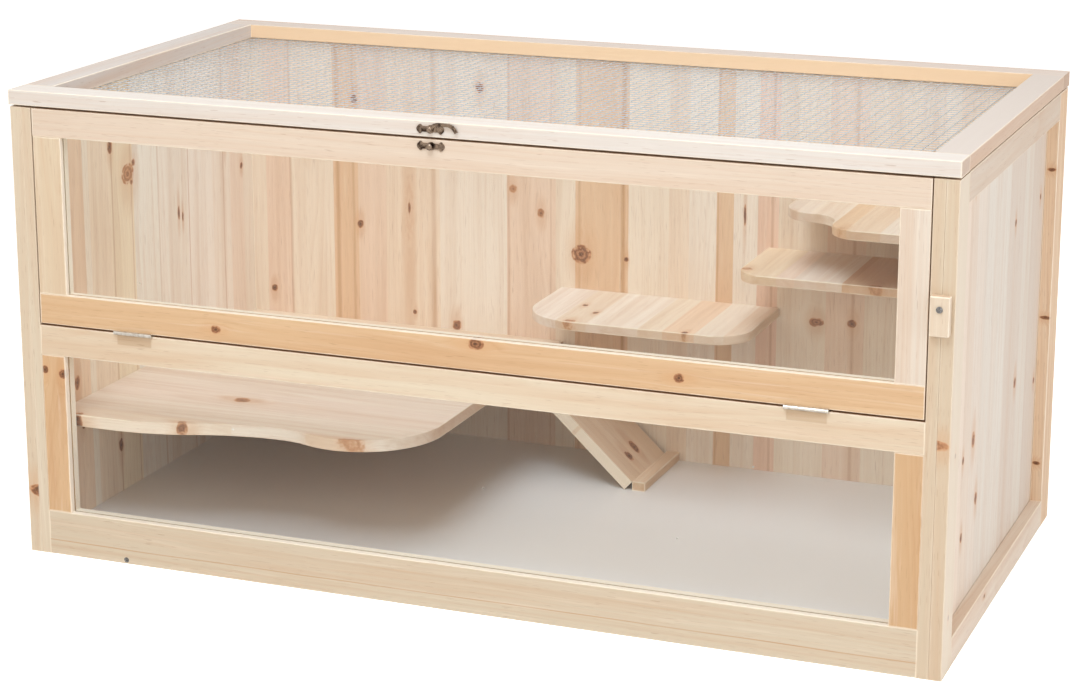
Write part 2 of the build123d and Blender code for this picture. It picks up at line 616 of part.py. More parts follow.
# ---------------------------------------------------------------- door
def save_door(hinges, keeper_rooms):
    """Glazed door between full-width rails, hinged along its bottom edge."""
    y = (FRONT_Y, DOOR_BACK_Y)
    full = (-DOOR_X, DOOR_X)
    window_x = (DOOR_WINDOW_LEFT, DOOR_WINDOW_RIGHT)
    window_z = (DOOR_WINDOW_BOTTOM, DOOR_WINDOW_TOP)
    pane_y = (DOOR_PANE_Y, DOOR_PANE_Y + PANE_THICKNESS)
    save("door_pane", pane(window_x, pane_y, window_z, 0))
    groove = pane(window_x, pane_y, window_z, PANE_PLAY)
    middle_y = (FRONT_Y + DOOR_BACK_Y) / 2
    centres = stile_centres(DOOR_WINDOW_LEFT, DOOR_WINDOW_RIGHT, DOOR_X)
    pegs = dowels([Pos(x, middle_y, z) for x in centres for z in window_z])
    save("door_dowels", group(pegs))
    rooms = [groove] + pegs
    top = timber(full, y, (DOOR_WINDOW_TOP, DOOR_TOP), Axis.X)
    save("door_top_rail", cut(top, rooms + keeper_rooms))
    bottom = timber(full, y, (DOOR_BOTTOM, DOOR_WINDOW_BOTTOM), Axis.X)
    save("door_bottom_rail", cut(bottom, rooms + hinges.moving_screws.rooms))
    left = timber((-DOOR_X, DOOR_WINDOW_LEFT), y, window_z, Axis.Z)
    save("door_stile_left", cut(left, rooms))
    right = timber((DOOR_WINDOW_RIGHT, DOOR_X), y, window_z, Axis.Z)
    save("door_stile_right", cut(right, rooms))


# ---------------------------------------------------------------- lid
def wire_places(low, high):
    """Wire positions at the mesh's pitch, centred between two ends."""
    count = int((high - low) / WIRE_PITCH) + 1
    first = (low + high - (count - 1) * WIRE_PITCH) / 2
    return [first + index * WIRE_PITCH for index in range(count)]


def save_mesh():
    """Welded wire mesh: wires along Y under the rails, and wires along X below them."""
    upper_z = LID_BOTTOM - WIRE_DIAMETER / 2
    lower_z = upper_z - WIRE_DIAMETER
    middle_y = (MESH_FRONT_Y + MESH_REAR_Y) / 2
    short = ALONG_Y * Cylinder(WIRE_DIAMETER / 2, MESH_REAR_Y - MESH_FRONT_Y)
    long = ALONG_X * Cylinder(WIRE_DIAMETER / 2, 2 * MESH_X)
    wires = [Pos(x, middle_y, upper_z) * short for x in wire_places(-MESH_X, MESH_X)]
    wires += [Pos(0, y, lower_z) * long for y in wire_places(MESH_FRONT_Y, MESH_REAR_Y)]
    save("lid_mesh", group(wires))


def staple():
    """A staple across a wire: its crown's top at the origin, its legs pointing up."""
    half = STAPLE_SPAN / 2
    width = (-STAPLE_WIRE / 2, STAPLE_WIRE / 2)
    body = block((-half, half), width, (-STAPLE_WIRE, 0))
    for x in ((-half, -half + STAPLE_WIRE), (half - STAPLE_WIRE, half)):
        body += block(x, width, (0, STAPLE_LEG))
    return body


def mesh_staples():
    """Staples along all four rails, each across one wire, clear of the others."""
    xs = wire_places(-MESH_X, MESH_X)
    ys = wire_places(MESH_FRONT_Y, MESH_REAR_Y)
    upper_z = LID_BOTTOM - WIRE_DIAMETER
    lower_z = upper_z - WIRE_DIAMETER
    every = round(STAPLE_SPACING / WIRE_PITCH)
    staples = []
    for x in xs[every // 2::every]:
        for y in (ys[0] - STAPLE_OFFSET, ys[-1] + STAPLE_OFFSET):
            staples.append(Pos(x, y, upper_z) * staple())
    for y in ys[every // 2::every]:
        for x in (xs[0] - STAPLE_OFFSET, xs[-1] + STAPLE_OFFSET):
            staples.append(Pos(x, y, lower_z) * Rot(0, 0, 90) * staple())
    return staples


def save_lid(hinges, plate_rooms):
    """Lid frame: full-width front and rear rails with side rails between them."""
    z = (LID_BOTTOM, LID_TOP)
    full = (-LID_X, LID_X)
    between = (LID_FRONT_INNER_Y, LID_REAR_INNER_Y)
    staples = mesh_staples()
    save("mesh_staples", group(staples))
    middle_z = (LID_BOTTOM + LID_TOP) / 2
    peg_x = LID_X - LID_RAIL_WIDTH / 2
    pegs = dowels([Pos(x, y, middle_z) * ALONG_Y for x in (-peg_x, peg_x) for y in between])
    save("lid_dowels", group(pegs))
    rooms = staples + pegs
    front = timber(full, (LID_FRONT_Y, LID_FRONT_INNER_Y), z, Axis.X)
    save("lid_front_rail", cut(front, rooms + plate_rooms))
    rear = timber(full, (LID_REAR_INNER_Y, BACK_Y), z, Axis.X)
    save("lid_rear_rail", cut(rear, rooms + hinges.moving_screws.rooms))
    for name, side in (("left", -1), ("right", 1)):
        rail = timber(on_side(side, LID_RAIL_INNER_X, LID_X), between, z, Axis.Y)
        save("lid_side_rail_" + name, cut(rail, rooms))


# ---------------------------------------------------------------- turn button
def button_screw_parts():
    """The round-headed screw that the turn button turns on, and its room in the corner post."""
    place = Pos(PANEL_X, BUTTON_FRONT_Y - BUTTON_GAP, BUTTON_HEIGHT) * TO_BACK
    shank = Pos(0, 0, -BUTTON_SCREW_LENGTH / 2) * Cylinder(BUTTON_SCREW_RADIUS, BUTTON_SCREW_LENGTH)
    head = Pos(0, 0, BUTTON_HEAD_HEIGHT / 2) * Cylinder(BUTTON_HEAD_RADIUS, BUTTON_HEAD_HEIGHT)
    head = fillet(head.edges().sort_by(Axis.Z)[-1], BUTTON_HEAD_HEIGHT / 2)
    recess = Pos(0, 0, BUTTON_HEAD_HEIGHT) * cross_recess(BUTTON_HEAD_RADIUS, RECESS_DEPTH)
    return place * (head + shank - recess), place * shank


def save_button():
    """Wooden turn button, stored upright with its long end down."""
    x = (PANEL_X - BUTTON_WIDTH / 2, PANEL_X + BUTTON_WIDTH / 2)
    z = (BUTTON_HEIGHT - BUTTON_LONG_END, BUTTON_HEIGHT + BUTTON_SHORT_END)
    button = block(x, (BUTTON_FRONT_Y, BUTTON_BACK_Y), z)
    button = chamfer(button.edges(), BUTTON_EASE)
    hole_radius = BUTTON_SCREW_RADIUS + RUNNING_CLEARANCE
    middle_y = (BUTTON_FRONT_Y + BUTTON_BACK_Y) / 2
    hole = Pos(PANEL_X, middle_y, BUTTON_HEIGHT) * ALONG_Y * Cylinder(hole_radius, BUTTON_THICKNESS)
    save("turn_button", button - hole)


# ---------------------------------------------------------------- latch
def lobed_plate():
    """Outline of a latch plate: a bar with a round boss and two scalloped lobes."""
    plate = Rectangle(LOBE_SPACING, PLATE_BAR_HEIGHT) + Circle(PLATE_BOSS_RADIUS)
    for x in (-LOBE_SPACING / 2, LOBE_SPACING / 2):
        plate += Pos(x, 0) * Circle(LOBE_RADIUS)
        for y in (-SCALLOP_OFFSET, SCALLOP_OFFSET):
            plate += Pos(x, y) * Circle(SCALLOP_RADIUS)
    return plate


def latch_plate(front_y, height, rooms):
    """A lobed plate whose front face is at front_y."""
    body = Pos(LATCH_X, front_y, height) * TO_BACK * extrude(lobed_plate(), -LATCH_PLATE_THICKNESS)
    return cut(body, rooms)


def latch_screws(front_y, height):
    """Round-headed screws through a plate's lobes, and the rooms that their shanks fill."""
    shank_length = LATCH_SCREW_LENGTH
    shank = Pos(0, 0, -shank_length / 2) * Cylinder(LATCH_SCREW_RADIUS, shank_length)
    head = Pos(0, 0, LATCH_SCREW_HEAD_HEIGHT / 2)
    head *= Cylinder(LATCH_SCREW_HEAD_RADIUS, LATCH_SCREW_HEAD_HEIGHT)
    head = fillet(head.edges().sort_by(Axis.Z)[-1], LATCH_SCREW_HEAD_HEIGHT / 2)
    offsets = (-LOBE_SPACING / 2, LOBE_SPACING / 2)
    places = [Pos(LATCH_X + x, front_y, height) * TO_BACK for x in offsets]
    return [place * (head + shank) for place in places], [place * shank for place in places]


def save_latch_plate(shank_rooms):
    """Lid plate, and the rivet with its washer that the hook turns on."""
    save("latch_plate", latch_plate(LID_PLATE_FRONT_Y, LATCH_PIVOT_Z, shank_rooms))
    shaft_length = HOOK_THICKNESS + 2 * HOOK_END_PLAY
    washer = Pos(0, 0, HOOK_SPACER / 2) * Cylinder(RIVET_HEAD_RADIUS, HOOK_SPACER)
    shaft = Pos(0, 0, HOOK_SPACER + shaft_length / 2) * Cylinder(RIVET_RADIUS, shaft_length)
    head_z = HOOK_SPACER + shaft_length
    head = Pos(0, 0, head_z + RIVET_HEAD_HEIGHT / 2)
    head *= Cylinder(RIVET_HEAD_RADIUS, RIVET_HEAD_HEIGHT)
    head = fillet(head.edges().sort_by(Axis.Z)[-1], RIVET_HEAD_ROUND)
    place = Pos(LATCH_X, LID_PLATE_FRONT_Y, LATCH_PIVOT_Z) * TO_BACK
    save("latch_rivet", place * (washer + shaft + head))


def save_hook():
    """Flat hook, stored swung aside to the right along the lid's rail."""
    shoulder = (HOOK_SHOULDER, HOOK_OFFSET)
    bend = (HOOK_SHOULDER + HOOK_STRAIGHT, HOOK_OFFSET)
    tip = (bend[0] + HOOK_CURL, -HOOK_TIP_DROP)
    line = Spline((0, 0), shoulder, tangents=[(1, 1.2), (1, 0)])
    line += Line(shoulder, bend)
    line += Spline(bend, tip, tangents=[(1, 0), (0.5, -1)])
    outline = trace(line, HOOK_WIDTH) + Circle(HOOK_EYE_RADIUS)
    outline -= Circle(RIVET_RADIUS + RUNNING_CLEARANCE)
    place = Pos(LATCH_X, HOOK_FRONT_Y, LATCH_PIVOT_Z) * TO_BACK
    save("latch_hook", place * extrude(outline, -HOOK_THICKNESS))


def save_keeper(shank_rooms):
    """Keeper plate on the door, and the knob that the hook catches."""
    save("latch_keeper_plate", latch_plate(KEEPER_PLATE_FRONT_Y, KEEPER_Z, shank_rooms))
    stem_length = KEEPER_PLATE_FRONT_Y - HOOK_FRONT_Y + KNOB_SLACK
    stem = Pos(0, 0, stem_length / 2) * Cylinder(KNOB_STEM_RADIUS, stem_length)
    head = Pos(0, 0, stem_length + KNOB_HEAD_HEIGHT / 2)
    head *= Cylinder(KNOB_HEAD_RADIUS, KNOB_HEAD_HEIGHT)
    head = fillet(head.edges().sort_by(Axis.Z)[-1], KNOB_HEAD_ROUND)
    save("latch_knob", Pos(LATCH_X, KEEPER_PLATE_FRONT_Y, KEEPER_Z) * TO_BACK * (stem + head))


# ---------------------------------------------------------------- the whole cage
def main():
    os.makedirs("parts", exist_ok=True)

    hinge_xs = (DOOR_HINGE_LEFT_X, DOOR_HINGE_RIGHT_X)
    door_hinges = Hinges([Pos(x, DOOR_AXIS_Y, DOOR_AXIS_Z) for x in hinge_xs])
    turned = Rot(0, 0, 180)
    hinge_xs = (-LID_HINGE_X, LID_HINGE_X)
    lid_hinges = Hinges([Pos(x, LID_AXIS_Y, LID_AXIS_Z) * turned for x in hinge_xs])

    panel_screws = wood_screws(shelf_screws() + cleat_screws(), PANEL_SCREW_LENGTH)
    floor_screws = wood_screws(bearer_screws(), BEARER_SCREW_LENGTH)
    rail_place = Pos(bearer_middles()[0], FRONT_Y, RAIL_SCREW_HEIGHT) * TO_BACK
    rail_screw = wood_screws([rail_place], RAIL_SCREW_LENGTH)
    pegs = carcass_dowels()
    button_screw, button_screw_room = button_screw_parts()

    save_side_walls(pegs + panel_screws.rooms + [button_screw_room])
    save_back_wall(pegs + panel_screws.rooms + lid_hinges.fixed_screws.rooms)
    save_front_frame(pegs + rail_screw.rooms + door_hinges.fixed_screws.rooms)
    save_floor(floor_screws.rooms + rail_screw.rooms)
    save_platform(panel_screws.rooms)
    save_ramp()
    save_shelves(panel_screws.rooms)
    save("carcass_dowels", group(pegs))
    save("panel_screws", group(panel_screws.solids))
    save("floor_screws", group(floor_screws.solids))
    save("rail_screw", group(rail_screw.solids))

    keeper_screws, keeper_rooms = latch_screws(KEEPER_PLATE_FRONT_Y, KEEPER_Z)
    plate_screws, plate_rooms = latch_screws(LID_PLATE_FRONT_Y, LATCH_PIVOT_Z)
    save_door(door_hinges, keeper_rooms)
    save_keeper(keeper_rooms)
    save("latch_keeper_screws", group(keeper_screws))
    save_lid(lid_hinges, plate_rooms)
    save_mesh()
    save_latch_plate(plate_rooms)
    save("latch_plate_screws", group(plate_screws))
    save_hook()
    save_button()
    save("turn_button_screw", button_screw)

    save("hinge_fixed_leaves", group(door_hinges.fixed + lid_hinges.fixed))
    save("hinge_pins", group(door_hinges.pins + lid_hinges.pins))
    fixed_screws = door_hinges.fixed_screws.solids + lid_hinges.fixed_screws.solids
    save("hinge_fixed_screws", group(fixed_screws))
    for name, hinges in (("door", door_hinges), ("lid", lid_hinges)):
        save(name + "_hinge_moving_leaves", group(hinges.moving))
        save(name + "_hinge_moving_screws", group(hinges.moving_screws.solids))


main()
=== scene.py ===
import math

import bpy
from mathutils import Matrix, Vector


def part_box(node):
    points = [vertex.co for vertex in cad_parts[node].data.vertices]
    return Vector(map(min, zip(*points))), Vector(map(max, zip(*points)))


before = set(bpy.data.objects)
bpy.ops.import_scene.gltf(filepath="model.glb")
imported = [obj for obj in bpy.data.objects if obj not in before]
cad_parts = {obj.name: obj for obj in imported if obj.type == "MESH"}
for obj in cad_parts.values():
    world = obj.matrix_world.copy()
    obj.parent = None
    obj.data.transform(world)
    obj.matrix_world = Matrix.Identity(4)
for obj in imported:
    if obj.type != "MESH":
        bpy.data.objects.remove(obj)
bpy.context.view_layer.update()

MM = 0.001


# Small helpers for building materials


def chart(red, green, blue):
    """A paint-chart colour, 0 to 255 a channel, as the linear colour a material takes."""
    levels = []
    for level in (red, green, blue):
        level = level / 255
        levels.append(level / 12.92 if level <= 0.04045 else ((level + 0.055) / 1.055) ** 2.4)
    return (*levels, 1.0)


def put(tree, kind, inputs=None, **settings):
    """Adds a node, sets its options, then links or fills its inputs."""
    made = tree.nodes.new(kind)
    for name, value in settings.items():
        setattr(made, name, value)
    for key, value in (inputs or {}).items():
        socket = made.inputs[key]
        if isinstance(value, bpy.types.NodeSocket):
            tree.links.new(value, socket)
        else:
            socket.default_value = value
    return made


def calc(tree, operation, *values, clamp=False):
    inputs = dict(enumerate(values))
    return put(tree, "ShaderNodeMath", inputs, operation=operation, use_clamp=clamp).outputs[0]


def times(tree, first, second, clamp=False):
    return calc(tree, "MULTIPLY", first, second, clamp=clamp)


def plus(tree, first, second):
    return calc(tree, "ADD", first, second)


def minus(tree, first, second):
    return calc(tree, "SUBTRACT", first, second)


def over(tree, first, second):
    return calc(tree, "DIVIDE", first, second)


def ramp(tree, value, steps, blending="LINEAR"):
    """A colour ramp; steps holds (place from 0 to 1, colour)."""
    made = put(tree, "ShaderNodeValToRGB", {0: value})
    made.color_ramp.interpolation = blending
    elements = made.color_ramp.elements
    while len(elements) < len(steps):
        elements.new(1.0)
    for element, (place, colour) in zip(elements, steps):
        element.position = place
        element.color = colour
    return made.outputs[0]


def scaled(tree, value, factor, start):
    """The value times a factor, counted from a start."""
    return calc(tree, "MULTIPLY_ADD", value, factor, start)


def vector_calc(tree, operation, *values):
    inputs = dict(enumerate(values))
    made = put(tree, "ShaderNodeVectorMath", inputs, operation=operation)
    return made.outputs[1] if operation in ("LENGTH", "DOT_PRODUCT") else made.outputs[0]


def mix(tree, amount, first, second):
    inputs = {0: amount, 6: first, 7: second}
    return put(tree, "ShaderNodeMix", inputs, data_type="RGBA").outputs[2]


def fade(tree, value, start, end, low=0.0, high=1.0):
    """A smooth step: low before start, high after end."""
    inputs = {0: value, 1: start, 2: end, 3: low, 4: high}
    made = put(tree, "ShaderNodeMapRange", inputs, interpolation_type="SMOOTHSTEP")
    return made.outputs[0]


def noise(tree, place, scale, detail=2.0, roughness=0.5, output=0):
    inputs = {"Vector": place, "Scale": scale, "Detail": detail, "Roughness": roughness}
    return put(tree, "ShaderNodeTexNoise", inputs).outputs[output]


def apart(tree, vector):
    return put(tree, "ShaderNodeSeparateXYZ", {0: vector}).outputs


def together(tree, x, y, z):
    return put(tree, "ShaderNodeCombineXYZ", {0: x, 1: y, 2: z}).outputs[0]


def channels(tree, colour):
    return put(tree, "ShaderNodeSeparateColor", {0: colour}).outputs


def scaled_vector(tree, vector, factor):
    """A vector or a colour times one number."""
    inputs = {0: vector, "Scale": factor}
    return put(tree, "ShaderNodeVectorMath", inputs, operation="SCALE").outputs[0]


def new_group(name, inputs, outputs):
    """An empty shader node group with named sockets, and its input and output nodes."""
    tree = bpy.data.node_groups.new(name, "ShaderNodeTree")
    for label, kind, value in inputs:
        socket = tree.interface.new_socket(label, in_out="INPUT", socket_type="NodeSocket" + kind)
        socket.default_value = value
    for label, kind in outputs:
        tree.interface.new_socket(label, in_out="OUTPUT", socket_type="NodeSocket" + kind)
    given = tree.nodes.new("NodeGroupInput").outputs
    result = tree.nodes.new("NodeGroupOutput").inputs
    return tree, given, result


def use_group(tree, group, inputs):
    return put(tree, "ShaderNodeGroup", inputs, node_tree=group).outputs


def start_material(name):
    material = bpy.data.materials.new(name)
    material.use_nodes = True
    tree = material.node_tree
    return material, tree, tree.nodes["Principled BSDF"]


def add_bump(tree, surface, strength, distance, height):
    inputs = {"Strength": strength, "Distance": distance, "Height": height}
    bump = put(tree, "ShaderNodeBump", inputs)
    tree.links.new(bump.outputs[0], surface.inputs["Normal"])


def give(material, *nodes):
    """Makes a material the only one of these CAD nodes."""
    for node in nodes:
        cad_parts[node].data.materials.clear()
        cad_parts[node].data.materials.append(material)


# Tones of the timber, and the painted highlights and shade for some of its faces

CREAM = chart(232, 213, 188)
PALE = chart(236, 220, 200)
HONEY = chart(228, 194, 156)
# Painted highlight: a near-white tone for faces the light strikes, the tops of the lower rails
# and the side faces of some stiles
LIT_FACE_HIGHLIGHT = chart(252, 242, 226)
# Painted shade: a darker brown for the undersides of the platform and shelves, which also browns
# the shade beneath them
PAINTED_UNDERSIDE_SHADE = chart(186, 132, 84)
# Painted shade: a dark brown for the faces in the narrow gaps round the door and under the lid,
# where little light gets in
PAINTED_GAP_SHADE = chart(170, 122, 78)
BRIGHT = chart(244, 231, 215)
LIGHT = chart(242, 226, 206)
BISCUIT = chart(241, 221, 199)
SALMON = chart(239, 214, 192)
ROSE = chart(240, 208, 186)
AMBER = chart(232, 199, 165)
RING = chart(203, 160, 121)
DEEP_RING = chart(190, 137, 92)
SAPWOOD = chart(250, 240, 224)
RESIN = chart(150, 100, 62)
END_GRAIN = chart(188, 142, 98)
# Painted highlight along the edges of every piece, where light catches the eased arrises
EDGE_HIGHLIGHT = chart(250, 238, 218)
KNOT_STAIN = chart(208, 158, 112)
KNOT_TONES = (
    (0.0, chart(216, 168, 126)),
    (0.32, chart(196, 142, 102)),
    (0.62, chart(146, 96, 64)),
    (1.0, chart(92, 58, 40)),
)

# How far the log and its knots stray from true

KNOT_RAGGED = 5.2 * MM
SMALL_KNOT = 1.6 * MM
STAIN_LIFT = 4 * MM
LOG_WANDER = 16 * MM
PITH_ASIDE = 100 * MM
PITH_DEEPER = 50 * MM
STREAK_WANDER = 6 * MM
EDGE_WIDTH = 1.6 * MM


# Effects shared by the timber materials


def make_knot_group():
    """One knot: its dark heart, the stain round it and how far it pushes the grain aside."""
    tree, given, result = new_group(
        "knot",
        (
            ("Place", "Vector", (0, 0, 0)),
            ("Centre", "Vector", (0, 0, 0)),
            ("Size", "Float", 0.006),
            ("Length", "Float", 1.15),
            ("Depth", "Float", 0.25),
            ("Darkness", "Float", 1.0),
            ("Core", "Float", 0.0),
            ("Halo", "Float", 0.0),
            ("Bend", "Float", 0.0),
        ),
        (("Core", "Float"), ("Halo", "Float"), ("Bend", "Float")),
    )
    place, size = given["Place"], given["Size"]

    # The outline is ragged, and a small knot is only a little ragged.
    ragged = noise(tree, place, 95.0, 3.0, output="Color")
    ragged = vector_calc(tree, "SUBTRACT", ragged, (0.5, 0.5, 0.5))
    most = calc(tree, "MINIMUM", times(tree, size, 0.9), KNOT_RAGGED)
    ragged = scaled_vector(tree, ragged, most)
    away = vector_calc(tree, "SUBTRACT", place, given["Centre"])
    along, across, through = apart(tree, vector_calc(tree, "ADD", away, ragged))
    along = over(tree, along, given["Length"])
    through = times(tree, through, given["Depth"])
    far = vector_calc(tree, "LENGTH", together(tree, along, across, through))
    steps = over(tree, far, size)

    # Mottled rings of its own, a darker centre and a broken rim of bark.
    rings = calc(tree, "SINE", times(tree, steps, 13.0))
    mottle = noise(tree, place, 420.0, 2.0)
    small = calc(tree, "MINIMUM", over(tree, SMALL_KNOT, size), 0.36)
    inside = scaled(tree, rings, 0.15, plus(tree, small, 0.30))
    inside = times(tree, inside, scaled(tree, mottle, 1.2, 0.4))
    centre = times(tree, fade(tree, steps, 0.55, 0.15), times(tree, small, 1.2))
    inside = plus(tree, inside, centre)
    core = times(tree, fade(tree, steps, 1.3, 0.55), inside)
    bark = times(tree, fade(tree, steps, 0.5, 0.9), fade(tree, steps, 1.2, 0.95))
    patch = fade(tree, noise(tree, place, 160.0, 1.0), 0.38, 0.66)
    core = plus(tree, core, times(tree, bark, times(tree, patch, 0.34)))
    core = times(tree, core, given["Darkness"])

    # The stain reaches out along the grain, and the grain bends round the knot.
    stain = together(tree, times(tree, along, 0.42), across, through)
    stain = vector_calc(tree, "LENGTH", stain)
    halo = fade(tree, over(tree, stain, size), 2.3, 0.7)
    squared = calc(tree, "POWER", over(tree, stain, times(tree, size, 1.7)), 2.0)
    spread = calc(tree, "EXPONENT", times(tree, squared, -1.0))
    push = times(tree, times(tree, across, -0.9), spread)

    # Several knots are chained, so each hands on what the ones before it gave.
    tree.links.new(calc(tree, "MAXIMUM", core, given["Core"]), result["Core"])
    tree.links.new(calc(tree, "MAXIMUM", halo, given["Halo"]), result["Halo"])
    tree.links.new(plus(tree, push, given["Bend"]), result["Bend"])
    return tree


def stretched(tree, place, shift, lengthwise, crosswise):
    """A place drawn out along the grain, where noise shows as bands, stripes or fibres."""
    along, across, through = place
    return together(
        tree,
        scaled(tree, along, lengthwise, shift),
        times(tree, across, crosswise),
        times(tree, through, crosswise),
    )


def place_in_log(tree, given, place, shift):
    """The place seen from the pith of the log, which wanders, so no ring is straight for long."""
    along, across, through = place
    luck = put(tree, "ShaderNodeTexWhiteNoise", {"W": given["Seed"]}, noise_dimensions="1D")
    luck = channels(tree, luck.outputs["Color"])
    wander = noise(tree, stretched(tree, place, shift, 2.2, 14.0), 1.0, 2.0, output="Color")
    wander = channels(tree, wander)
    sway = times(tree, minus(tree, wander[0], 0.5), LOG_WANDER)
    rise = times(tree, minus(tree, wander[1], 0.5), LOG_WANDER)
    aside = times(tree, minus(tree, luck[0], 0.5), PITH_ASIDE)
    below = scaled(tree, luck[1], PITH_DEEPER, given["Pith Depth"])
    slope = times(tree, minus(tree, luck[2], 0.5), times(tree, given["Figure"], 2.0))
    sideways = minus(tree, minus(tree, across, given["Centre"]), aside)
    sideways = plus(tree, sideways, plus(tree, sway, given["Bend"]))
    deep = plus(tree, plus(tree, through, below), rise)
    deep = plus(tree, deep, times(tree, along, slope))
    return along, sideways, deep


def late_wood(tree, given, log_place, shift):
    """The dark late wood of each year's ring, stronger in some stretches than in others."""
    along, sideways, deep = log_place
    radius = vector_calc(tree, "LENGTH", together(tree, 0.0, sideways, deep))
    radius = scaled(tree, given["Halo"], STAIN_LIFT, radius)
    year = over(tree, radius, given["Ring Width"])
    uneven = noise(tree, together(tree, year, shift, times(tree, along, 3.0)), 0.42, 1.0)
    year = scaled(tree, uneven, 3.4, year)
    season = calc(tree, "FRACT", year)
    late = times(tree, calc(tree, "POWER", season, 2.4), fade(tree, season, 1.0, 0.84))
    stretch = together(tree, scaled(tree, along, 5.0, shift), times(tree, year, 0.37), 0.0)
    strength = scaled(tree, noise(tree, stretch, 1.0, 2.0), 3.4, -0.95)
    strength = fade(tree, strength, 0.0, 1.3, 0.12, 1.25)
    return times(tree, late, strength, clamp=True)


def wood_colour(tree, given, late, band, stripe, fibre, resin):
    """The board's tone under its rings, bands, stripes, streaks and fibres."""
    line = given["Line"]
    bands = fade(tree, band, 0.42, 0.70)
    stripes = fade(tree, stripe, 0.48, 0.76)
    colour = given["Tone"]
    for mask, share in ((late, 0.58), (bands, 0.80), (stripes, 0.34)):
        amount = times(tree, mask, times(tree, given["Line Strength"], share))
        colour = mix(tree, amount, colour, line)
    lighter = times(tree, fade(tree, stripe, 0.45, 0.28), 0.16)
    colour = mix(tree, lighter, colour, SAPWOOD)
    dark_line = vector_calc(tree, "MULTIPLY", line, (0.86, 0.76, 0.62))
    colour = mix(tree, given["Streak"], colour, dark_line)
    colour = scaled_vector(tree, colour, scaled(tree, minus(tree, fibre, 0.5), 0.11, 1.0))
    return mix(tree, times(tree, resin, 0.28), colour, RESIN)


def knot_and_end_colour(tree, given, colour):
    """Knots laid over the wood, from amber stain to dark heart, and tan end grain."""
    colour = mix(tree, times(tree, given["Halo"], 0.36), colour, KNOT_STAIN)
    cover = fade(tree, given["Core"], 0.02, 0.34, 0.0, 0.94)
    colour = mix(tree, cover, colour, ramp(tree, given["Core"], KNOT_TONES))
    lengthwise = calc(tree, "ABSOLUTE", apart(tree, given["Facing"])[0])
    end = calc(tree, "POWER", lengthwise, 6.0)
    return mix(tree, times(tree, end, 0.42), colour, END_GRAIN)


def make_timber_group():
    """Softwood cut from a log: growth rings round a pith, fibres, knots and end grain."""
    tree, given, result = new_group(
        "timber",
        (
            ("Place", "Vector", (0, 0, 0)),
            ("Facing", "Vector", (0, 0, 1)),
            ("Centre", "Float", 0.0),
            ("Seed", "Float", 0.0),
            ("Tone", "Color", (0.8, 0.7, 0.5, 1)),
            ("Line", "Color", (0.5, 0.3, 0.15, 1)),
            ("Line Strength", "Float", 0.5),
            ("Ring Width", "Float", 0.004),
            ("Pith Depth", "Float", 0.03),
            ("Figure", "Float", 0.03),
            ("Core", "Float", 0.0),
            ("Halo", "Float", 0.0),
            ("Bend", "Float", 0.0),
            ("Streak", "Float", 0.0),
        ),
        (("Color", "Color"), ("Roughness", "Float"), ("Height", "Float")),
    )
    place = apart(tree, given["Place"])
    shift = times(tree, given["Seed"], 7.3)
    log_place = place_in_log(tree, given, place, shift)
    late = late_wood(tree, given, log_place, shift)
    band = noise(tree, stretched(tree, log_place, shift, 1.3, 34.0), 1.0, 3.0, 0.6)
    stripe = noise(tree, stretched(tree, log_place, shift, 2.6, 150.0), 1.0, 3.0, 0.6)
    fibre = noise(tree, stretched(tree, log_place, shift, 22.0, 850.0), 1.0, 2.0, 0.65)
    resin = noise(tree, stretched(tree, place, 0.0, 55.0, 1300.0), 1.0, 0.0)
    resin = fade(tree, resin, 0.735, 0.80)

    colour = wood_colour(tree, given, late, band, stripe, fibre, resin)
    tree.links.new(knot_and_end_colour(tree, given, colour), result["Color"])
    rough = scaled(tree, given["Core"], -0.12, scaled(tree, fibre, 0.16, 0.50))
    tree.links.new(rough, result["Roughness"])
    height = scaled(tree, fibre, 0.5, times(tree, late, 0.35))
    tree.links.new(scaled(tree, given["Core"], 0.35, height), result["Height"])
    return tree


def make_edge_group():
    """How close a point is to an edge of its board, broken up so that the painted highlight along
    the edges is uneven.
    """
    tree, given, result = new_group(
        "edge wear",
        (
            ("Place", "Vector", (0, 0, 0)),
            ("Half Size", "Vector", (1, 1, 1)),
            ("Width", "Float", EDGE_WIDTH),
        ),
        (("Mask", "Float"),),
    )
    distance = vector_calc(tree, "ABSOLUTE", given["Place"])
    inside = vector_calc(tree, "SUBTRACT", given["Half Size"], distance)
    long_gap, wide_gap, deep_gap = apart(tree, inside)

    # An edge is where two faces are near, so the second smallest of the three gaps counts.
    smaller = calc(tree, "MINIMUM", wide_gap, deep_gap)
    larger = calc(tree, "MAXIMUM", wide_gap, deep_gap)
    second = calc(tree, "MINIMUM", calc(tree, "MAXIMUM", long_gap, smaller), larger)
    uneven = scaled(tree, noise(tree, given["Place"], 55.0, 3.0), 1.6, 0.2)
    width = times(tree, given["Width"], uneven)
    tree.links.new(fade(tree, over(tree, second, width), 1.0, 0.35), result["Mask"])
    return tree


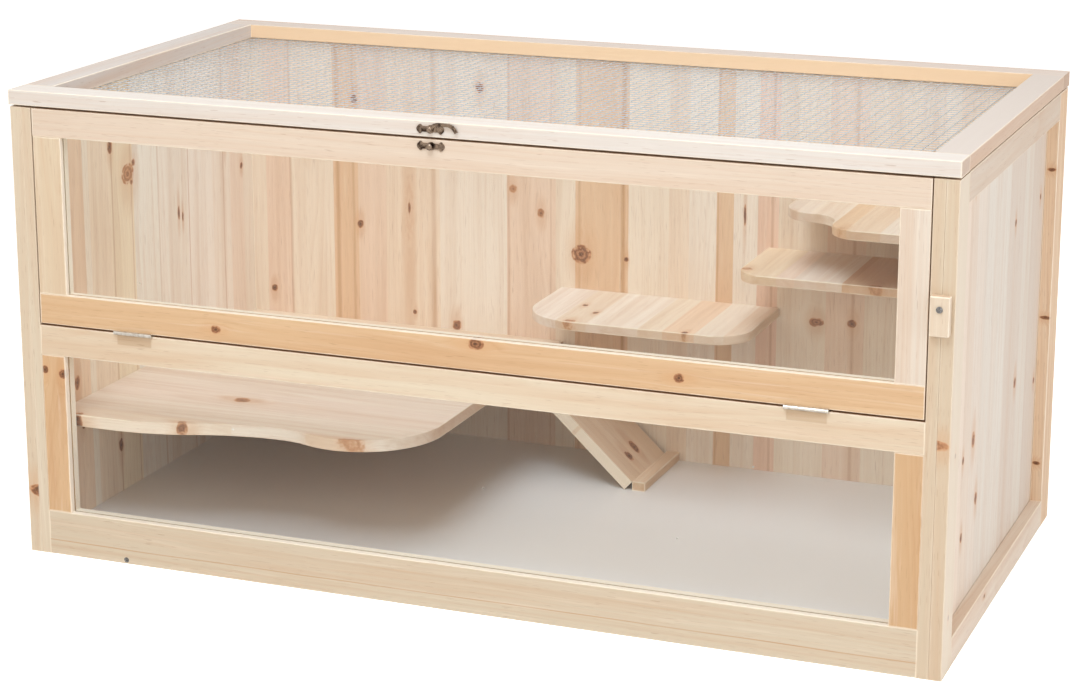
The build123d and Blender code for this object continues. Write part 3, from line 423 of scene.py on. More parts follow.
def make_streak_group():
    """One long darker line in a board, wandering slightly along its grain."""
    tree, given, result = new_group(
        "grain streak",
        (
            ("Place", "Vector", (0, 0, 0)),
            ("Across", "Float", 0.0),
            ("Width", "Float", 0.002),
            ("Amount", "Float", 0.5),
            ("Mask", "Float", 0.0),
        ),
        (("Mask", "Float"),),
    )
    along, across, through = apart(tree, given["Place"])
    slow = together(tree, times(tree, along, 3.0), given["Across"], 0.0)
    wander = minus(tree, noise(tree, slow, 1.0, 2.0), 0.5)
    middle = scaled(tree, wander, STREAK_WANDER, given["Across"])
    off = calc(tree, "ABSOLUTE", minus(tree, across, middle))
    fibres = together(tree, times(tree, along, 9.0), times(tree, across, 320.0), through)
    broken = scaled(tree, noise(tree, fibres, 1.0, 2.0), 1.1, 0.45)
    mask = times(tree, fade(tree, over(tree, off, given["Width"]), 1.0, 0.1), broken)
    mask = times(tree, mask, given["Amount"])
    tree.links.new(calc(tree, "MAXIMUM", mask, given["Mask"]), result["Mask"])
    return tree


def make_dust_group():
    """Fine dust and a few specks, for the clear sheets, the metal and the white floor."""
    tree, given, result = new_group(
        "dust",
        (("Place", "Vector", (0, 0, 0)), ("Scale", "Float", 60.0), ("Amount", "Float", 0.5)),
        (("Specks", "Float"), ("Haze", "Float")),
    )
    cells = {"Vector": given["Place"], "Scale": given["Scale"]}
    spots = put(tree, "ShaderNodeTexVoronoi", cells).outputs
    dot = fade(tree, spots["Distance"], 0.085, 0.04)
    few = calc(tree, "LESS_THAN", channels(tree, spots["Color"])[0], given["Amount"])
    tree.links.new(times(tree, dot, few), result["Specks"])
    tree.links.new(noise(tree, given["Place"], 7.0, 5.0, 0.6), result["Haze"])
    return tree


knot_group = make_knot_group()
timber_group = make_timber_group()
edge_group = make_edge_group()
streak_group = make_streak_group()
dust_group = make_dust_group()


# Timber materials: one for each piece, turned so that its grain runs along the piece


AXES = {"x": Vector((1, 0, 0)), "y": Vector((0, 1, 0)), "z": Vector((0, 0, 1))}
AXES |= {"-" + name: -axis for name, axis in AXES.items()}

# How much of a knot's radius its dark heart takes
CORE_SHARE = 0.85

# Half the width of the widest panel, in metres, and the step from one board's seed to the next
WIDEST_HALF = 0.6
SEED_STEP = 0.377


def direction(given):
    """An axis by its name, or a direction that is given as it is."""
    return AXES[given] if isinstance(given, str) else given


def turned(grain, face):
    """The rotation that lays a board's grain along X and its face towards Z."""
    grain = grain.normalized()
    face = (face - grain * face.dot(grain)).normalized()
    return Matrix((grain, face.cross(grain), face))


def board_place(tree, low, high, turn):
    """A piece's own coordinates: centred on it, grain along X, face towards Z."""
    at = put(tree, "ShaderNodeTexCoord").outputs
    centre = turn @ ((low + high) / 2)
    angles = turn.to_euler()
    moved = {"Vector": at["Object"], "Rotation": angles, "Location": -centre}
    place = put(tree, "ShaderNodeMapping", moved)
    spun = {"Vector": at["Normal"], "Rotation": angles}
    facing = put(tree, "ShaderNodeMapping", spun, vector_type="NORMAL")
    return place.outputs[0], facing.outputs[0], centre


def add_knots(tree, place, turn, centre, knots):
    """Chains a piece's knots: x, y, z and radius in mm, then how oval, deep and dark each is."""
    marks = {"Core": 0.0, "Halo": 0.0, "Bend": 0.0}
    for x, y, z, radius, *shape in knots:
        spot = turn @ Vector((x, y, z)) * MM - centre
        inputs = {"Place": place, "Centre": spot, "Size": radius * CORE_SHARE * MM, **marks}
        inputs |= dict(zip(("Length", "Depth", "Darkness"), shape))
        outputs = use_group(tree, knot_group, inputs)
        marks = {label: outputs[label] for label in ("Core", "Halo", "Bend")}
    return marks


def add_streaks(tree, place, streaks):
    """Chains a piece's dark lines: place across the grain and width in mm, then strength."""
    mask = 0.0
    for across, width, amount in streaks:
        inputs = {"Place": place, "Across": across * MM, "Width": width * MM}
        inputs |= {"Amount": amount, "Mask": mask}
        mask = use_group(tree, streak_group, inputs)["Mask"]
    return mask


def panel_share(distance):
    """A distance from the panel's middle as a share, 0 to 1, of the widest panel."""
    return (distance + WIDEST_HALF) / (2 * WIDEST_HALF)


def board_inputs(tree, place, boards):
    """Boards of uneven width across a panel, each (start in mm from the middle, tone)."""
    across = apart(tree, place)[1]
    limits = {0: across, 1: -WIDEST_HALF, 2: WIDEST_HALF, 3: 0.0, 4: 1.0}
    share = put(tree, "ShaderNodeMapRange", limits).outputs[0]
    edges = [start * MM for start, _ in boards] + [WIDEST_HALF]
    tones = []
    facts = []
    for index, (_, tone) in enumerate(boards):
        start = panel_share(edges[index])
        middle = panel_share((edges[index] + edges[index + 1]) / 2)
        seed = (index * SEED_STEP) % 1
        tones.append((start, tone))
        facts.append((start, (middle, seed, 0.0, 1.0)))
    tone = ramp(tree, share, tones, "CONSTANT")
    facts = channels(tree, ramp(tree, share, facts, "CONSTANT"))
    centre = scaled(tree, facts[0], 2 * WIDEST_HALF, -WIDEST_HALF)
    return {"Tone": tone, "Centre": centre, "Seed": facts[1]}


def hinge_shadow_patch(tree, place, colour, middle, half_length, start):
    """A painted shadow: the darker patch below a door hinge, along the upper edge of the rail."""
    along, across, _ = apart(tree, place)
    off = calc(tree, "ABSOLUTE", minus(tree, along, middle))
    beside = fade(tree, off, half_length, half_length - MM * 2)
    near_edge = fade(tree, calc(tree, "ABSOLUTE", across), start - MM, start + MM)

    # Across points down on a rail that faces the front.
    upper = fade(tree, across, 0.0, -MM)
    mask = times(tree, times(tree, beside, near_edge), upper)
    darker = vector_calc(tree, "MULTIPLY", colour, (0.80, 0.72, 0.64))
    return mix(tree, times(tree, mask, 0.75), colour, darker)


def timber(
    node,
    grain,
    face,
    tone,
    line=RING,
    strength=0.5,
    ring=4.0,
    depth=30.0,
    figure=0.03,
    seed=0.0,
    knots=(),
    boards=(),
    streaks=(),
    sides=(),
    highlight=0.6,
    hinge_shadows=(),
):
    """The finish of one wooden piece, given to its CAD node.

    Ring width and pith depth are in mm. sides holds (axis, tone, amount) for faces of another
    tone, and the last argument holds (middle, half length, height) in mm for the painted shadows
    below the door hinges.
    """
    material, tree, surface = start_material(node + "_finish")
    low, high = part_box(node)
    turn = turned(direction(grain), direction(face))
    place, facing, centre = board_place(tree, low, high, turn)
    inputs = {
        "Place": place,
        "Facing": facing,
        "Seed": seed,
        "Tone": tone,
        "Line": line,
        "Line Strength": strength,
        "Ring Width": ring * MM,
        "Pith Depth": depth * MM,
        "Figure": figure,
        "Streak": add_streaks(tree, place, streaks),
    }
    inputs |= add_knots(tree, place, turn, centre, knots)
    if boards:
        inputs |= board_inputs(tree, place, boards)
    wood = use_group(tree, timber_group, inputs)

    half = turn @ ((high - low) / 2)
    half = Vector((abs(half.x), abs(half.y), abs(half.z)))
    # Painted highlight: the edges of the piece are lightened where light would catch them.
    lit_edge = use_group(tree, edge_group, {"Place": place, "Half Size": half})["Mask"]
    colour = mix(tree, times(tree, lit_edge, highlight), wood["Color"], EDGE_HIGHLIGHT)
    # Faces of another tone: mostly painted highlights on lit faces and painted shade in gaps and
    # on undersides.
    for axis, side_tone, amount in sides:
        towards = vector_calc(tree, "DOT_PRODUCT", facing, turn @ direction(axis))
        colour = mix(tree, fade(tree, towards, 0.6, 0.9, 0.0, amount), colour, side_tone)
    # Painted shadows below the door hinges.
    for middle, half_length, height in hinge_shadows:
        start = half.y - height * MM
        colour = hinge_shadow_patch(tree, place, colour, middle * MM, half_length * MM, start)

    tree.links.new(colour, surface.inputs["Base Color"])
    tree.links.new(wood["Roughness"], surface.inputs["Roughness"])
    surface.inputs["Specular IOR Level"].default_value = 0.25
    add_bump(tree, surface, 0.5, 0.4 * MM, wood["Height"])
    give(material, node)


# The cage's boards, dark lines and knots, in mm
#
# A board gives where it starts across its panel, from the panel's middle, and its tone. A dark
# line gives its place across, width and strength. A knot gives its x, y, z and radius, then how
# oval, deep and dark it is where it differs from most.

# Where the faces with knots lie
FRONT_FACE = -295
BACK_FACE = 267
LEFT_FACE = -547
RIGHT_FACE = 560

# The middles of the door's hinges, and the size of the painted shadow below each on the rail
DOOR_HINGES = (-417.5, 415.5)
HINGE_SHADOW_HALF_LENGTH = 24
HINGE_SHADOW_HEIGHT = 14

RAMP_SLOPE = math.radians(42.9)

BACK_BOARDS = (
    (-600, LIGHT),
    (-528, SALMON),
    (-489, LIGHT),
    (-422, AMBER),
    (-388, SALMON),
    (-343, BISCUIT),
    (-266, BRIGHT),
    (-166, SALMON),
    (-97, LIGHT),
    (-66, AMBER),
    (8, LIGHT),
    (61, BISCUIT),
    (92, BRIGHT),
    (128, AMBER),
    (152, BRIGHT),
    (185, ROSE),
    (211, LIGHT),
    (280, SALMON),
    (330, LIGHT),
    (395, BRIGHT),
    (450, BISCUIT),
    (500, LIGHT),
)
BACK_STREAKS = (
    (-488, 3, 0.4),
    (-416, 5, 0.5),
    (-392, 3, 0.35),
    (-272, 6, 0.4),
    (-162, 3, 0.4),
    (-101, 2, 0.3),
    (-60, 3, 0.3),
    (2, 5, 0.65),
    (134, 2, 0.4),
    (208, 3, 0.4),
    (318, 4, 0.35),
)
BACK_KNOTS = (
    (-516, BACK_FACE, 208, 5),
    (-382, BACK_FACE, 312, 5.5),
    (-301, BACK_FACE, 194, 3.2),
    (-239, BACK_FACE, 181, 7),
    (-155, BACK_FACE, 379, 6.5, 1.0, 0.25, 0.55),
    (-115, BACK_FACE, 348, 6, 1.2, 0.25, 0.7),
    (-57, BACK_FACE, 297, 15, 0.95, 0.25, 1.25),
    (7, BACK_FACE, 296, 3.5),
    (170, BACK_FACE, 370, 1.8, 9.0, 0.25, 1.0),
    (269, BACK_FACE, 236, 11, 0.6),
    (317, BACK_FACE, 238, 6.5, 0.9),
    (-389, BACK_FACE, 485, 6),
    (-203, BACK_FACE, 513, 7),
    (-308, BACK_FACE, 340, 8, 7.0, 0.25, 0.2),
    (-308, BACK_FACE, 340, 2.2, 4.0, 0.25, 0.8),
)

LEFT_BOARDS = (
    (-300, chart(246, 234, 219)),
    (-240, chart(245, 228, 212)),
    (-203, chart(250, 240, 228)),
    (-150, chart(252, 244, 234)),
    (-84, chart(252, 245, 234)),
    (-8, chart(252, 247, 236)),
    (57, chart(252, 238, 212)),
    (114, chart(251, 234, 211)),
    (166, chart(252, 240, 222)),
    (182, chart(248, 222, 195)),
    (281, chart(218, 203, 180)),
)
LEFT_STREAKS = (
    (-182, 3, 0.4),
    (-84, 1.6, 0.55),
    (-3, 3, 0.3),
    (66, 2.5, 0.35),
    (114, 3, 0.45),
)
LEFT_KNOTS = (
    (LEFT_FACE, -115, 479, 6, 1.6),
    (LEFT_FACE, -73, 436, 17, 0.85, 0.25, 0.85),
    (LEFT_FACE, -58, 448, 5, 1.0, 0.25, 0.8),
    (LEFT_FACE, -64, 424, 4, 1.0, 0.25, 0.6),
    (LEFT_FACE, 56, 358, 3, 3.4, 0.25, 0.9),
    (LEFT_FACE, 66, 351, 2.4, 3.0, 0.25, 0.9),
    (LEFT_FACE, 188, 441, 5, 2.2),
    (LEFT_FACE, 235, 387, 4),
    (LEFT_FACE, -215, 198, 7, 1.4),
    (LEFT_FACE, -115, 87, 6, 1.6),
    (LEFT_FACE, -205, 140, 5),
)

RIGHT_BOARDS = (
    (-300, chart(226, 210, 190)),
    (-246, chart(220, 207, 193)),
    (-182, chart(226, 217, 204)),
    (-132, chart(222, 209, 195)),
    (-50, chart(229, 221, 209)),
    (80, chart(231, 219, 205)),
    (122, chart(229, 213, 196)),
    (160, chart(236, 220, 203)),
    (246, chart(238, 225, 210)),
    (281, chart(211, 193, 168)),
)
RIGHT_KNOTS = (
    (RIGHT_FACE, -146, 520, 4),
    (RIGHT_FACE, 82, 432, 4.5),
    (RIGHT_FACE, 228, 434, 4),
    (RIGHT_FACE, -108, 220, 9),
    (RIGHT_FACE, -158, 210, 4.5),
    (RIGHT_FACE, -83, 142, 7),
    (RIGHT_FACE, -154, 117, 5.5),
    (RIGHT_FACE, 117, 226, 7),
    (RIGHT_FACE, 237, 196, 4.5),
)

PLATFORM_BOARDS = (
    (-300, chart(238, 220, 200)),
    (-236, chart(242, 228, 213)),
    (-172, chart(237, 219, 203)),
    (-104, chart(240, 224, 208)),
    (-38, chart(238, 219, 199)),
    (30, chart(234, 216, 196)),
    (96, chart(238, 222, 205)),
    (160, chart(244, 230, 214)),
    (222, chart(236, 216, 192)),
)
LOW_SHELF_BOARDS = (
    (-160, chart(236, 214, 190)),
    (-130, chart(241, 226, 207)),
    (-90, chart(240, 212, 184)),
    (-48, chart(241, 225, 203)),
    (-16, chart(244, 232, 217)),
    (54, chart(238, 221, 200)),
    (98, chart(243, 231, 218)),
)
MIDDLE_SHELF_BOARDS = (
    (-180, chart(238, 214, 187)),
    (-52, chart(236, 206, 176)),
    (20, chart(226, 192, 160)),
    (32, chart(245, 233, 217)),
    (64, chart(247, 236, 222)),
    (92, chart(244, 222, 202)),
    (113, chart(242, 220, 190)),
)
HIGH_SHELF_BOARDS = (
    (-180, chart(240, 224, 204)),
    (-60, chart(243, 228, 210)),
    (-2, chart(238, 214, 187)),
    (40, chart(238, 208, 174)),
    (62, chart(242, 226, 206)),
    (104, chart(238, 222, 204)),
    (125, chart(228, 210, 192)),
)

STILE_KNOTS = {
    "left": ((-551, FRONT_FACE, 80, 6, 1.6, 0.25, 1.2),),
    "right": (
        (575, -268, 251, 3.5),
        (575, -272, 66, 3.5),
        (553, FRONT_FACE, 268, 6, 1.2, 0.25, 0.7),
    ),
}
REAR_KNOTS = {
    "left": (),
    "right": (
        (568, 250, 464, 3, 0.9, 0.5),
        (569, 250, 275, 3.4, 0.8, 0.45),
        (566, 250, 84, 3, 0.9, 0.5),
    ),
}
DOOR_RAIL_KNOTS = (
    (-307, FRONT_FACE, 311, 6),
    (26, FRONT_FACE, 327, 8, 1.3, 0.25, 1.15),
    (269, FRONT_FACE, 313, 6),
)
PLATFORM_KNOTS = (
    (-357, -139, 175, 10),
    (-381, -250, 168, 7, 1.2, 0.6),
    (-516, -264, 164, 8, 1.0, 0.5, 1.1),
    (-150, -240, 170, 8, 4.0, 0.5, 0.5),
)
RAMP_KNOTS = (
    (46, 174, 55, 7, 1.2, 0.25, 1.1),
    (42, 203, 58, 8, 1.4, 0.25, 1.0),
    (-10, 215, 107, 5, 1.4, 0.25, 0.6),
)
LOW_SHELF_KNOTS = (
    (-21, 187, 250, 4.5),
    (5, 156, 250, 4.5),
    (-13, 106, 247, 9, 0.8, 0.6, 0.7),
    (143, 106, 247, 5),
)
MIDDLE_SHELF_KNOTS = (
    (211, 146, 325, 9, 0.8, 0.6, 0.6),
    (385, 117, 327, 10, 0.8, 0.6, 0.6),
)
HIGH_SHELF_KNOTS = (
    (268, 140, 405, 7, 0.8, 0.6, 0.5),
    (352, 74, 403, 9, 0.8, 0.6, 0.35),
)


def finish_panels():
    timber(
        "back_panel",
        "z",
        "y",
        CREAM,
        strength=0.30,
        ring=4.2,
        figure=0.05,
        knots=BACK_KNOTS,
        boards=BACK_BOARDS,
        streaks=BACK_STREAKS,
    )
    timber(
        "side_panel_left",
        "z",
        "x",
        CREAM,
        strength=0.30,
        figure=0.04,
        seed=0.3,
        highlight=0.15,
        boards=LEFT_BOARDS,
        streaks=LEFT_STREAKS,
        knots=LEFT_KNOTS,
    )
    timber(
        "side_panel_right",
        "z",
        "x",
        CREAM,
        strength=0.22,
        figure=0.04,
        seed=0.7,
        highlight=0.15,
        boards=RIGHT_BOARDS,
        knots=RIGHT_KNOTS,
    )


def finish_left_uprights():
    timber(
        "side_stile_front_left",
        "z",
        "x",
        chart(218, 203, 180),
        strength=0.3,
        seed=0.11,
        highlight=0.25,
        knots=STILE_KNOTS["left"],
    )
    finish_rear_stile("left", 0.21)
    timber("back_stile_left", "z", "y", PALE, seed=0.52)
    timber(
        "lower_stile_left",
        "z",
        "y",
        chart(217, 183, 144),
        line=DEEP_RING,
        ring=3.4,
        figure=0.08,
        seed=0.61,
        knots=((-543, FRONT_FACE, 237, 5), (-519, FRONT_FACE, 234, 6)),
        # Painted highlight on the lit inner face.
        sides=(("x", LIT_FACE_HIGHLIGHT, 0.75),),
    )


def finish_right_uprights():
    timber(
        "side_stile_front_right",
        "z",
        "x",
        chart(211, 193, 168),
        strength=0.3,
        seed=0.34,
        highlight=0.25,
        # Painted highlight on the lit outer side face.
        sides=(("x", LIT_FACE_HIGHLIGHT, 0.45),),
        knots=STILE_KNOTS["right"],
    )
    finish_rear_stile("right", 0.64)
    timber("back_stile_right", "z", "y", PALE, seed=0.69)
    timber(
        "lower_stile_right",
        "z",
        "y",
        chart(208, 172, 132),
        line=DEEP_RING,
        ring=3.4,
        figure=0.08,
        seed=0.74,
    )


def finish_rear_stile(side, seed):
    timber(
        f"side_stile_rear_{side}",
        "z",
        "x",
        chart(238, 212, 182),
        line=DEEP_RING,
        seed=seed,
        knots=REAR_KNOTS[side],
    )


def finish_rails():
    timber("side_top_rails", "y", "x", chart(220, 205, 188), strength=0.35, seed=0.14)
    timber(
        "side_bottom_rails",
        "y",
        "x",
        chart(234, 219, 202),
        strength=0.4,
        seed=0.44,
        knots=((575, -83, 24, 3),),
    )
    timber("back_top_rail", "x", "y", PALE, strength=0.4, seed=0.24)
    timber("back_bottom_rail", "x", "y", CREAM, strength=0.45, seed=0.84)
    timber(
        "front_bottom_rail",
        "x",
        "y",
        chart(211, 196, 173),
        strength=0.36,
        ring=5.5,
        depth=18,
        seed=0.37,
        streaks=((10, 1.3, 0.55), (-12, 5, 0.12), (18, 2.5, 0.15)),
        # Painted highlight on the lit top face.
        sides=(("z", LIT_FACE_HIGHLIGHT, 0.75),),
    )
    timber(
        "middle_rail",
        "x",
        "y",
        chart(225, 210, 186),
        strength=0.42,
        ring=4.6,
        figure=0.02,
        depth=16,
        seed=0.57,
        # Painted shade on the top face, seen in the gap under the door.
        sides=(("z", PAINTED_GAP_SHADE, 0.75),),
        hinge_shadows=[(middle, HINGE_SHADOW_HALF_LENGTH, HINGE_SHADOW_HEIGHT) for middle in DOOR_HINGES],
    )
    timber("floor_bearers", "y", "z", CREAM, seed=0.93)
    timber("platform_cleats", "x", "z", CREAM, seed=0.73)


def finish_door():
    timber(
        "door_top_rail",
        "x",
        "y",
        chart(222, 204, 185),
        strength=0.36,
        ring=5.0,
        figure=0.02,
        depth=20,
        seed=0.27,
        # Painted shade on the faces in the gaps under the lid and beside the post.
        sides=(("z", PAINTED_GAP_SHADE, 0.7), ("x", PAINTED_GAP_SHADE, 0.7)),
    )
    timber(
        "door_stile_left",
        "z",
        "y",
        chart(221, 203, 176),
        strength=0.35,
        seed=0.47,
        # Painted highlight on the lit inner face.
        sides=(("x", LIT_FACE_HIGHLIGHT, 0.75),),
    )
    timber(
        "door_stile_right",
        "z",
        "y",
        chart(223, 211, 196),
        strength=0.35,
        seed=0.67,
        # Painted shade on the edge in the gap beside the post.
        sides=(("x", PAINTED_GAP_SHADE, 0.7),),
    )
    timber(
        "door_bottom_rail",
        "x",
        "y",
        chart(218, 184, 145),
        line=DEEP_RING,
        strength=0.42,
        ring=5.0,
        depth=14,
        seed=0.87,
        knots=DOOR_RAIL_KNOTS,
        # A painted highlight on the lit top face, painted shade on the faces in the gaps.
        sides=(("z", LIT_FACE_HIGHLIGHT, 0.75), ("x", PAINTED_GAP_SHADE, 0.7), ("-z", PAINTED_GAP_SHADE, 0.7)),
    )
    timber("turn_button", "z", "y", chart(222, 204, 181), strength=0.25, ring=3.0, seed=0.17)


def finish_lid():
    timber("lid_front_rail", "x", "z", chart(223, 216, 208), strength=0.22, ring=5.0, seed=0.31)
    timber(
        "lid_rear_rail",
        "x",
        "z",
        chart(214, 202, 192),
        strength=0.3,
        seed=0.41,
        sides=(("-y", chart(240, 208, 168), 0.8),),
        highlight=0.15,
    )
    timber("lid_side_rail_left", "y", "z", chart(209, 202, 196), strength=0.4, seed=0.51)
    timber(
        "lid_side_rail_right",
        "y",
        "z",
        chart(216, 191, 170),
        strength=0.3,
        seed=0.71,
        sides=(("z", chart(210, 200, 191), 0.9),),
    )


def finish_platform_and_ramp():
    timber(
        "platform",
        "x",
        "z",
        CREAM,
        strength=0.4,
        ring=5,
        seed=0.9,
        knots=PLATFORM_KNOTS,
        boards=PLATFORM_BOARDS,
        # Painted shade on the underside.
        sides=(("-z", PAINTED_UNDERSIDE_SHADE, 0.8),),
    )
    timber(
        "ramp",
        Vector((math.cos(RAMP_SLOPE), 0, -math.sin(RAMP_SLOPE))),
        Vector((math.sin(RAMP_SLOPE), 0, math.cos(RAMP_SLOPE))),
        chart(240, 216, 188),
        strength=0.36,
        seed=0.19,
        knots=RAMP_KNOTS,
    )
    timber("ramp_stop_batten", "y", "z", chart(240, 214, 184), strength=0.4, seed=0.29)


def finish_shelf(node, seed, boards, knots, shadow):
    timber(
        node,
        "y",
        "z",
        CREAM,
        strength=0.36,
        seed=seed,
        boards=boards,
        # Painted shade on the shelf's underside; shadow sets how strong it is.
        sides=(("-z", PAINTED_UNDERSIDE_SHADE, shadow),),
        knots=knots,
    )


finish_panels()
finish_left_uprights()
finish_right_uprights()
finish_rails()
finish_door()
finish_lid()
finish_platform_and_ramp()
finish_shelf("shelf_low", 0.5, LOW_SHELF_BOARDS, LOW_SHELF_KNOTS, 0.8)
finish_shelf("shelf_middle", 0.8, MIDDLE_SHELF_BOARDS, MIDDLE_SHELF_KNOTS, 0.8)
finish_shelf("shelf_high", 0.2, HIGH_SHELF_BOARDS, HIGH_SHELF_KNOTS, 0.6)
timber("carcass_dowels", "y", "z", HONEY, seed=0.1)
timber("door_dowels", "y", "z", HONEY, seed=0.2)
timber("lid_dowels", "x", "z", HONEY, seed=0.3)


# The floor board, the clear sheets and the metal

WHITE_FACE = chart(243, 241, 238)
CRUMB = chart(190, 182, 170)
METAL_DUST = chart(210, 205, 196)
SHEET_TINT = (0.97, 0.985, 0.98, 1)
SHEET_SHADOW = (0.96, 0.97, 0.965, 1)
SHEET_INDEX = 1.3


def object_place(tree):
    return put(tree, "ShaderNodeTexCoord").outputs["Object"]


def white_board():
    material, tree, surface = start_material("white_faced_board")
    place = object_place(tree)
    dust = use_group(tree, dust_group, {"Place": place, "Scale": 45.0, "Amount": 0.05})
    colour = scaled_vector(tree, WHITE_FACE[:3], scaled(tree, dust["Haze"], 0.03, 0.97))
    colour = mix(tree, times(tree, dust["Specks"], 0.4), colour, CRUMB)
    tree.links.new(colour, surface.inputs["Base Color"])
    tree.links.new(scaled(tree, dust["Haze"], 0.08, 0.34), surface.inputs["Roughness"])
    add_bump(tree, surface, 0.12, 0.2 * MM, noise(tree, place, 900.0, 2.0))
    give(material, "floor_board")


def clear_sheet():
    """Clear plastic that lets soft light and shadow rays straight through."""
    material, tree, surface = start_material("clear_sheet")
    place = object_place(tree)
    dust = use_group(tree, dust_group, {"Place": place, "Scale": 34.0, "Amount": 0.06})
    surface.inputs["Base Color"].default_value = SHEET_TINT
    surface.inputs["IOR"].default_value = SHEET_INDEX
    surface.inputs["Transmission Weight"].default_value = 1.0
    rough = scaled(tree, dust["Specks"], 0.5, times(tree, dust["Haze"], 0.02))
    tree.links.new(rough, surface.inputs["Roughness"])
    clear = put(tree, "ShaderNodeBsdfTransparent", {"Color": SHEET_SHADOW})
    path = put(tree, "ShaderNodeLightPath").outputs
    passing = calc(tree, "MAXIMUM", path["Is Shadow Ray"], path["Is Diffuse Ray"])
    shaders = {0: passing, 1: surface.outputs[0], 2: clear.outputs[0]}
    blend = put(tree, "ShaderNodeMixShader", shaders)
    tree.links.new(blend.outputs[0], tree.nodes["Material Output"].inputs["Surface"])
    give(material, "lower_pane", "door_pane")


def metal(name, colour, other, roughness, nodes, scale=180.0, dents=0.08, metallic=1.0):
    """A metal in two patchy tones; scale is how fine its patches are, dents how deep."""
    material, tree, surface = start_material(name)
    place = object_place(tree)
    patch = noise(tree, place, scale, 4.0, 0.6)
    tone = mix(tree, fade(tree, patch, 0.38, 0.66), colour, other)
    dust = use_group(tree, dust_group, {"Place": place, "Scale": scale * 3, "Amount": 0.3})
    tone = mix(tree, times(tree, dust["Specks"], 0.25), tone, METAL_DUST)
    tree.links.new(tone, surface.inputs["Base Color"])
    surface.inputs["Metallic"].default_value = metallic
    tree.links.new(scaled(tree, patch, 0.25, roughness), surface.inputs["Roughness"])
    add_bump(tree, surface, dents, 0.5 * MM, patch)
    give(material, *nodes)


white_board()
clear_sheet()
metal(
    "galvanised_wire",
    chart(208, 214, 218),
    chart(188, 194, 198),
    0.46,
    ("lid_mesh", "mesh_staples"),
    scale=400.0,
    metallic=0.45,
)
metal(
    "plated_hinge",
    chart(214, 208, 198),
    chart(186, 178, 166),
    0.22,
    ("hinge_fixed_leaves", "hinge_pins", "door_hinge_moving_leaves", "lid_hinge_moving_leaves"),
)
metal(
    "zinc_screw",
    chart(196, 194, 188),
    chart(140, 138, 132),
    0.25,
    (
        "hinge_fixed_screws",
        "door_hinge_moving_screws",
        "lid_hinge_moving_screws",
        "floor_screws",
        "panel_screws",
    ),
    scale=500.0,
)
metal(
    "dark_screw",
    chart(150, 148, 146),
    chart(96, 94, 92),
    0.30,
    ("rail_screw", "turn_button_screw"),
    scale=500.0,
)
metal(
    "antique_bronze",
    chart(158, 138, 120),
    chart(64, 50, 42),
    0.16,
    (
        "latch_plate",
        "latch_plate_screws",
        "latch_rivet",
        "latch_hook",
        "latch_keeper_plate",
        "latch_keeper_screws",
        "latch_knob",
    ),
    scale=170.0,
    dents=0.9,
)


# Floor, light and camera


FLOOR_SIZE = 30.0
FLOOR_MIDDLE = (0, 4, 0)
FLOOR_WHITE = (0.92, 0.92, 0.92, 1)
FLOOR_GLOW = (0.96, 0.98, 1.0, 1)
GLOW_STRENGTH = 0.72

ROOM_TONE = (1.0, 0.81, 0.63, 1)
ROOM_STRENGTH = 0.43

# Each lamp's name, place, width in metres, power in watts and colour.
LAMPS = (
    ("key", (0.3, -2.2, 3.2), 1.3, 45.0, (0.86, 0.985, 1.12)),
    ("fill", (2.0, -2.5, 1.8), 1.6, 8.0, (0.93, 0.99, 1.08)),
    ("low", (-0.5, -3.2, 1.5), 1.6, 22.0, (0.90, 0.86, 0.78)),
    ("side", (3.3, -0.5, 1.3), 2.0, 35.0, (0.91, 1.01, 1.14)),
    ("top", (0.0, -0.5, 2.6), 1.6, 24.0, (0.91, 0.995, 1.08)),
)
LAMP_TARGET = Vector((0, 0, 0.3))

CAMERA_PLACE = (1.17314, -3.01526, 1.15081)
CAMERA_VIEW = Vector((-0.354326, 0.901716, -0.24771))
CAMERA_LENS = 90.0
CAMERA_SENSOR = 36.0
CAMERA_RISE = -0.0583


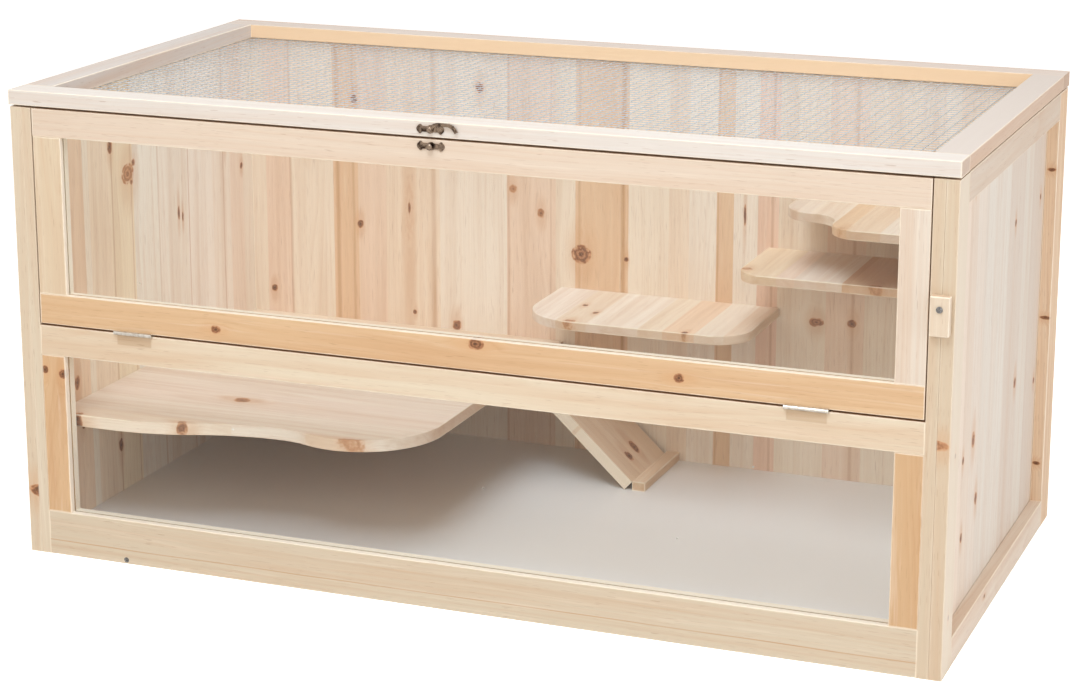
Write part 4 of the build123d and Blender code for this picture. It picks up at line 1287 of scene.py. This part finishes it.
def lay_floor():
    """A white floor that also glows a little for the camera, so that it fades into the room."""
    bpy.ops.object.select_all(action="DESELECT")
    bpy.ops.mesh.primitive_plane_add(size=FLOOR_SIZE, location=FLOOR_MIDDLE)
    floor = bpy.context.object
    floor.name = "studio_floor"
    material, tree, surface = start_material("studio_floor")
    surface.inputs["Base Color"].default_value = FLOOR_WHITE
    surface.inputs["Roughness"].default_value = 0.9
    surface.inputs["Specular IOR Level"].default_value = 0.1
    surface.inputs["Emission Color"].default_value = FLOOR_GLOW
    path = put(tree, "ShaderNodeLightPath").outputs
    glow = times(tree, path["Is Camera Ray"], GLOW_STRENGTH)
    tree.links.new(glow, surface.inputs["Emission Strength"])
    floor.data.materials.append(material)


def light_room():
    """Warm soft light from all round, behind a room that looks white."""
    world = bpy.data.worlds.new("studio")
    bpy.context.scene.world = world
    world.use_nodes = True
    tree = world.node_tree
    soft = tree.nodes["Background"]
    soft.inputs["Color"].default_value = ROOM_TONE
    soft.inputs["Strength"].default_value = ROOM_STRENGTH
    white = put(tree, "ShaderNodeBackground", {"Color": (1, 1, 1, 1), "Strength": 1.0})
    path = put(tree, "ShaderNodeLightPath").outputs
    seen = calc(tree, "MAXIMUM", path["Is Camera Ray"], path["Is Transmission Ray"])
    seen = calc(tree, "MAXIMUM", seen, path["Is Glossy Ray"])
    shaders = {0: seen, 1: soft.outputs[0], 2: white.outputs[0]}
    blend = put(tree, "ShaderNodeMixShader", shaders)
    tree.links.new(blend.outputs[0], tree.nodes["World Output"].inputs["Surface"])


def aim(thing, direction):
    thing.rotation_euler = direction.to_track_quat("-Z", "Y").to_euler()


def hang_lamps():
    for name, place, width, power, colour in LAMPS:
        bpy.ops.object.light_add(type="AREA", location=place)
        lamp = bpy.context.object
        lamp.name = name
        lamp.data.size = width
        lamp.data.energy = power
        lamp.data.color = colour
        aim(lamp, LAMP_TARGET - Vector(place))


def set_camera():
    bpy.ops.object.camera_add(location=CAMERA_PLACE)
    camera = bpy.context.object
    aim(camera, CAMERA_VIEW)
    camera.data.lens = CAMERA_LENS
    camera.data.sensor_width = CAMERA_SENSOR
    camera.data.shift_y = CAMERA_RISE
    bpy.context.scene.camera = camera
    bpy.context.scene.view_settings.view_transform = "Standard"


lay_floor()
light_room()
hang_lamps()
set_camera()
